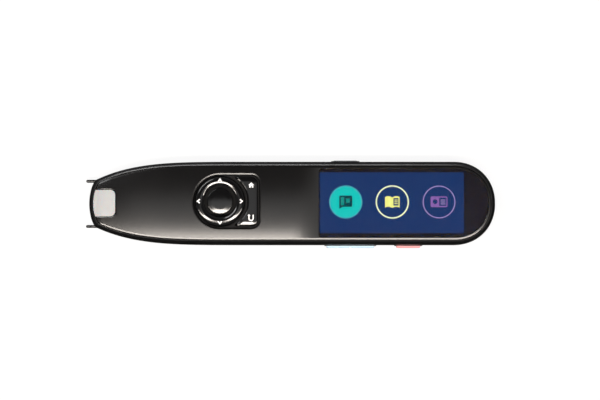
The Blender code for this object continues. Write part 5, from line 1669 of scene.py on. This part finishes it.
@dataclass(frozen=True)
class Fixings:
    """What repeats: the four case screws, the socket's contacts and the wires of the loudspeaker's mesh."""

    screw_head: float = 1.3 * MM
    screw_shank: float = 0.7 * MM
    screw_seat: float = 1.3 * MM
    screw_top: float = 9.2 * MM
    recess: Point = (0.7 * MM, 0.16 * MM)
    contact_half: tuple[float, float, float] = (2.2 * MM, 0.13 * MM, 0.03 * MM)
    contact_pitch: float = 0.5 * MM
    contact_count: int = 12
    contact_back: float = 2.6 * MM
    wire_pitch: float = 0.5 * MM
    wire_reach: float = 0.09 * MM
    wire_radius: float = 0.063 * MM

    def build_screws(self) -> None:
        """Makes the four screws with a cross recess, each turned by the same random angle."""
        head = self.screw_head
        profile = [
            (self.screw_shank, self.screw_top),
            (self.screw_shank, self.screw_seat),
            (head, self.screw_seat),
            (head, 0.55 * MM),
            (head - 0.12 * MM, 0.4 * MM),
            (head * 0.6, 0.31 * MM),
            (0.02 * MM, 0.3 * MM),
        ]
        cuts = []
        for x, y in (self.recess, self.recess[::-1]):
            cuts.append(block((-x, -y, -0.5 * MM), (x, y, 0.85 * MM), 0.05 * MM, 1))
        screw = carve(lathe(profile, (0.0, 0.0), 48), cut=cuts)
        maker = RepeatedPart("case_screws", screw, Finish.SCREW)
        for i, (x, y) in enumerate(POSTS, start=1):
            mesh = maker.place([(x, y, 0.0)], swing=QUARTER_TURN)
            piece(f"case_screw_{i}_turned", mesh, [Finish.SCREW], "case", "steel", [f"case_screw_{i}"])
        maker.discard()

    def build_contacts(self) -> None:
        """Makes the gold contacts along both faces of the socket's tongue."""
        low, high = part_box("usb_tongue")
        half = Vector(self.contact_half)
        maker = RepeatedPart("socket_contacts", block(-half, half, 0.02 * MM, 1), Finish.GOLD)
        x = high.x - self.contact_back
        middle = (self.contact_count - 1) / 2
        across = [(i - middle) * self.contact_pitch for i in range(self.contact_count)]
        mesh = maker.place([(x, y, z) for y in across for z in (low.z, high.z)])
        maker.discard()
        piece("socket_contact_row", mesh, [Finish.GOLD], "case", "steel")

    def wire(self, span: float, along: int) -> Mesh:
        """One bowed wire of the loudspeaker's mesh, which goes over and under those that cross it.

        Args:
            span: The wire's length.
            along: The axis it runs along, 0 for X and 1 for Y.

        Returns:
            The wire, drawn round the origin.
        """
        end = span / 2 - self.wire_reach
        side = 1 if along == 0 else -1
        rings = []
        for at in evenly(-end, end, int(span / self.wire_pitch * 2)):
            bow = 0.5 * self.wire_reach * math.sin(HALF_TURN * at / self.wire_pitch) * side
            ring = []
            for a in evenly(0.0, 2 * HALF_TURN, 6)[:-1]:
                point = [self.wire_radius * math.cos(a)] * 2
                point[along] = at
                ring.append(Vector((*point, bow + self.wire_radius * math.sin(a))))
            rings.append(ring)
        return skin(rings)

    def build_mesh_wires(self) -> None:
        """Makes the loudspeaker's woven mesh: short bowed wires laid over and under each other."""
        low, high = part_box("speaker_mesh")
        size = high - low
        meshes = []
        for along, across in ((0, 1), (1, 0)):
            maker = RepeatedPart(f"mesh_wire_{along}", self.wire(size[along], along), Finish.STEEL)
            rows = int(size[across] / self.wire_pitch)
            points = []
            for j in range(rows):
                place = (low + high) / 2
                place[across] += (j - (rows - 1) / 2) * self.wire_pitch
                points.append(place)
            meshes.append(maker.place(points))
            maker.discard()
        piece("speaker_wire_mesh", join(meshes), [Finish.STEEL], "case", "steel", ["speaker_mesh"], 60)

    def build(self) -> None:
        """Makes every repeated part."""
        self.build_screws()
        self.build_contacts()
        self.build_mesh_wires()


@dataclass(frozen=True)
class Dressing:
    """Finishes of the CAD pieces whose shape is already right."""

    pairs: tuple[tuple[Finish, str], ...] = (
        (Finish.PANE, "scan_window"),
        (Finish.STEEL, "nib_spring shield_can microphone"),
        (Finish.STEEL, "volume_switch_up volume_switch_down power_switch record_switch"),
        (Finish.STEEL, "dome_centre dome_right dome_up dome_left dome_down dome_home dome_back"),
        (Finish.CHIP, "tip_switch lens_barrel image_sensor processor memory_chip speaker"),
        (Finish.LENS, "camera_lens"),
        (Finish.BOARD, "sensor_board led_board main_board battery_protector"),
        (Finish.LAMP, "scan_led_left scan_led_right"),
        (Finish.SCREEN, "display_panel"),
        (Finish.WHITE, "display_backlight battery_socket"),
        (Finish.AMBER, "display_ribbon"),
        (Finish.SILICONE, "nav_collar key_mat"),
        (Finish.POUCH, "battery"),
        (Finish.LEAD_RED, "battery_lead_red"),
        (Finish.LEAD_BLACK, "battery_lead_black"),
    )

    def build(self) -> None:
        """Gives each carried-over CAD node its finish."""
        for finish, names in self.pairs:
            for name in names.split():
                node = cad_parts[name]
                node.data.materials.clear()
                node.data.materials.append(finish.material)
                LOG.info("%s: finished as %s", name, finish.value.name)


def aimed(data: bpy.types.ID, start: Vector, towards: Vector, distance: float) -> Thing:
    """Places a camera or a light so that it looks back at a point.

    Args:
        data: The camera or light, whose name the object takes.
        start: The point it looks at.
        towards: The direction from there to where it stands.
        distance: How far away it stands.

    Returns:
        The new object.
    """
    made = placed(data.name, data)
    made.location = start + towards * distance
    made.rotation_mode = "QUATERNION"
    made.rotation_quaternion = (-towards).to_track_quat("-Z", "Y")
    return made


@dataclass(frozen=True)
class Studio:
    """The camera, the floor and the soft lights."""

    lens: float = 120.0
    sensor: float = 36.0
    distance: float = 0.72
    elevation: float = math.radians(87.6)
    aim: tuple[float, float, float] = (3.6 * MM, 1.2 * MM, 8.0 * MM)
    floor_half: float = 4.0
    floor_z: float = -0.02 * MM
    paper: str = "#f2f2f2"
    # Painted shade: the dark floor colour that glossy rays see near the pen.
    painted_shade_paper: str = "#1c1c1c"
    white: str = "#ffffff"
    warm: str = "#fff6ec"
    card_level: float = 29.5
    reach: float = 0.5

    def build_camera(self) -> None:
        """Sets the camera almost straight above the pen, tilted a little from its near side."""
        data = bpy.data.cameras.new("camera")
        data.lens = self.lens
        data.sensor_width = self.sensor
        data.clip_start = 0.01
        data.clip_end = 20.0
        back = Vector((0.0, -math.cos(self.elevation), math.sin(self.elevation)))
        bpy.context.scene.camera = aimed(data, Vector(self.aim), back, self.distance)

    def build_floor(self) -> None:
        """Makes the pale floor, with a soft shadow and a painted shade near the pen that glossy edges mirror.
        """
        bm = bmesh.new()
        bmesh.ops.create_grid(bm, x_segments=8, y_segments=8, size=self.floor_half)
        mesh = mesh_of(bm)
        made = bpy.data.materials.new("pale_paper_floor")
        tree = empty_tree(made)
        path = add_node(tree, "ShaderNodeLightPath")
        seen = add_node(
            tree,
            "ShaderNodeMath",
            {0: path.outputs["Is Camera Ray"], 1: path.outputs["Is Transmission Ray"]},
            operation="ADD",
            use_clamp=True,
        )
        place = add_node(tree, "ShaderNodeTexCoord")
        parts = add_node(tree, "ShaderNodeSeparateXYZ", {"Vector": place.outputs["Object"]})
        # Painted shade: near the pen, glossy rays see the floor in a dark colour instead of the paper.
        near = add_node(
            tree,
            "ShaderNodeMapRange",
            {"Value": parts.outputs["Y"], "From Min": 0.12, "From Max": 0.25, "To Min": 1.0, "To Max": 0.0},
        )
        painted_shade_share = add_node(
            tree,
            "ShaderNodeMath",
            {0: path.outputs["Is Glossy Ray"], 1: near.outputs["Result"]},
            operation="MULTIPLY",
        )
        shade = add_node(
            tree,
            "ShaderNodeMix",
            {0: painted_shade_share.outputs[0], 6: linear(self.paper), 7: linear(self.painted_shade_paper)},
            data_type="RGBA",
        )
        share = add_node(tree, "ShaderNodeMath", {0: seen.outputs[0], 1: 0.9}, operation="MULTIPLY")
        paper = add_node(tree, "ShaderNodeBsdfDiffuse", {"Color": shade.outputs[2]})
        glow = add_node(tree, "ShaderNodeEmission", {"Color": linear(self.white), "Strength": 1.0})
        mixed = add_node(
            tree, "ShaderNodeMixShader", {0: share.outputs[0], 1: paper.outputs[0], 2: glow.outputs[0]}
        )
        add_node(tree, "ShaderNodeOutputMaterial", {"Surface": mixed.outputs[0]})
        mesh.materials.append(made)
        floor = placed("floor", mesh)
        floor.location.z = self.floor_z

    def build_world(self) -> None:
        """Makes the room: a pale ceiling on the near side, dim elsewhere, white where the camera sees it."""
        world = bpy.data.worlds.new("room")
        tree = empty_tree(world)
        place = add_node(tree, "ShaderNodeTexCoord")
        parts = add_node(tree, "ShaderNodeSeparateXYZ", {"Vector": place.outputs["Generated"]})
        levels = []
        for axis, start, end, low, high in (
            ("Z", 0.1, 0.85, 0.30, 0.02),
            ("Z", 0.88, 0.96, 0.0, 0.9),
            ("Y", 0.0, 0.15, 1.0, 0.0),
        ):
            limits = {"From Min": start, "From Max": end, "To Min": low, "To Max": high}
            slope = add_node(
                tree,
                "ShaderNodeMapRange",
                {"Value": parts.outputs[axis], **limits},
                interpolation_type="SMOOTHSTEP",
            )
            levels.append(slope.outputs["Result"])
        horizon, above, near = levels
        ceiling = add_node(tree, "ShaderNodeMath", {0: above, 1: near}, operation="MULTIPLY")
        level = add_node(tree, "ShaderNodeMath", {0: ceiling.outputs[0], 1: horizon}, operation="ADD")
        path = add_node(tree, "ShaderNodeLightPath")
        strength = add_node(
            tree,
            "ShaderNodeMath",
            {0: level.outputs[0], 1: path.outputs["Is Camera Ray"]},
            operation="MAXIMUM",
        )
        room = add_node(
            tree, "ShaderNodeBackground", {"Color": linear(self.white), "Strength": strength.outputs[0]}
        )
        add_node(tree, "ShaderNodeOutputWorld", {"Surface": room.outputs[0]})
        bpy.context.scene.world = world

    def lamp(self, name: str, tilt: Point, size: Point, level: float, colour: str) -> Thing:
        """Adds one soft light that faces the pen.

        Args:
            name: The light's name.
            tilt: Degrees from overhead towards +X and towards -Y.
            size: Its width along X and its depth.
            level: How bright its surface is, where 1 is white.
            colour: Its colour.

        Returns:
            The light's object.
        """
        along, near = (math.radians(a) for a in tilt)
        wide = math.cos(along)
        towards = Vector((math.sin(along), -math.sin(near) * wide, math.cos(near) * wide))
        data = bpy.data.lights.new(name, "AREA")
        data.shape = "RECTANGLE"
        data.size, data.size_y = size
        data.color = linear(colour)[:3]
        data.energy = level * size[0] * size[1] * 4
        light = aimed(data, Vector(), towards, self.reach)
        light.visible_camera = False
        return light

    def light_shoulder(self) -> None:
        """Adds the strip that draws the soft line along the far shoulder, kept off the glossy face."""
        strip = self.lamp("far_strip", (-12.0, -69.0), (0.40, 0.27), 12.0, self.white)
        lit = bpy.data.collections.new("lit_by_far_strip")
        lit.objects.link(bpy.data.objects["back_shell_body"])
        strip.light_linking.receiver_collection = lit

    def build(self) -> None:
        """Sets up the whole studio."""
        self.build_camera()
        self.build_floor()
        self.build_world()
        self.lamp("near_strip", (0.0, 17.0), (0.80, 0.05), self.card_level, self.warm)
        self.lamp("far_panel", (-32.0, -38.0), (0.30, 0.12), 8.0, self.white)
        bpy.context.scene.view_settings.view_transform = "Standard"


def main() -> None:
    """Builds the studio and every sub-assembly of the pen."""
    logging.basicConfig(level=logging.INFO, format="%(message)s")
    outline = CaseOutline()
    plate = FacePlate(outline)
    studio = Studio()
    studio.build()
    BackShell(outline).build()
    studio.light_shoulder()
    plate.build()
    KeyCluster(plate).build()
    Screen(outline).build()
    SideKeyCaps(outline).build()
    NibFoot().build()
    ChargingSocket().build()
    Fixings().build()
    Dressing().build()


if __name__ == "__main__":
    main()
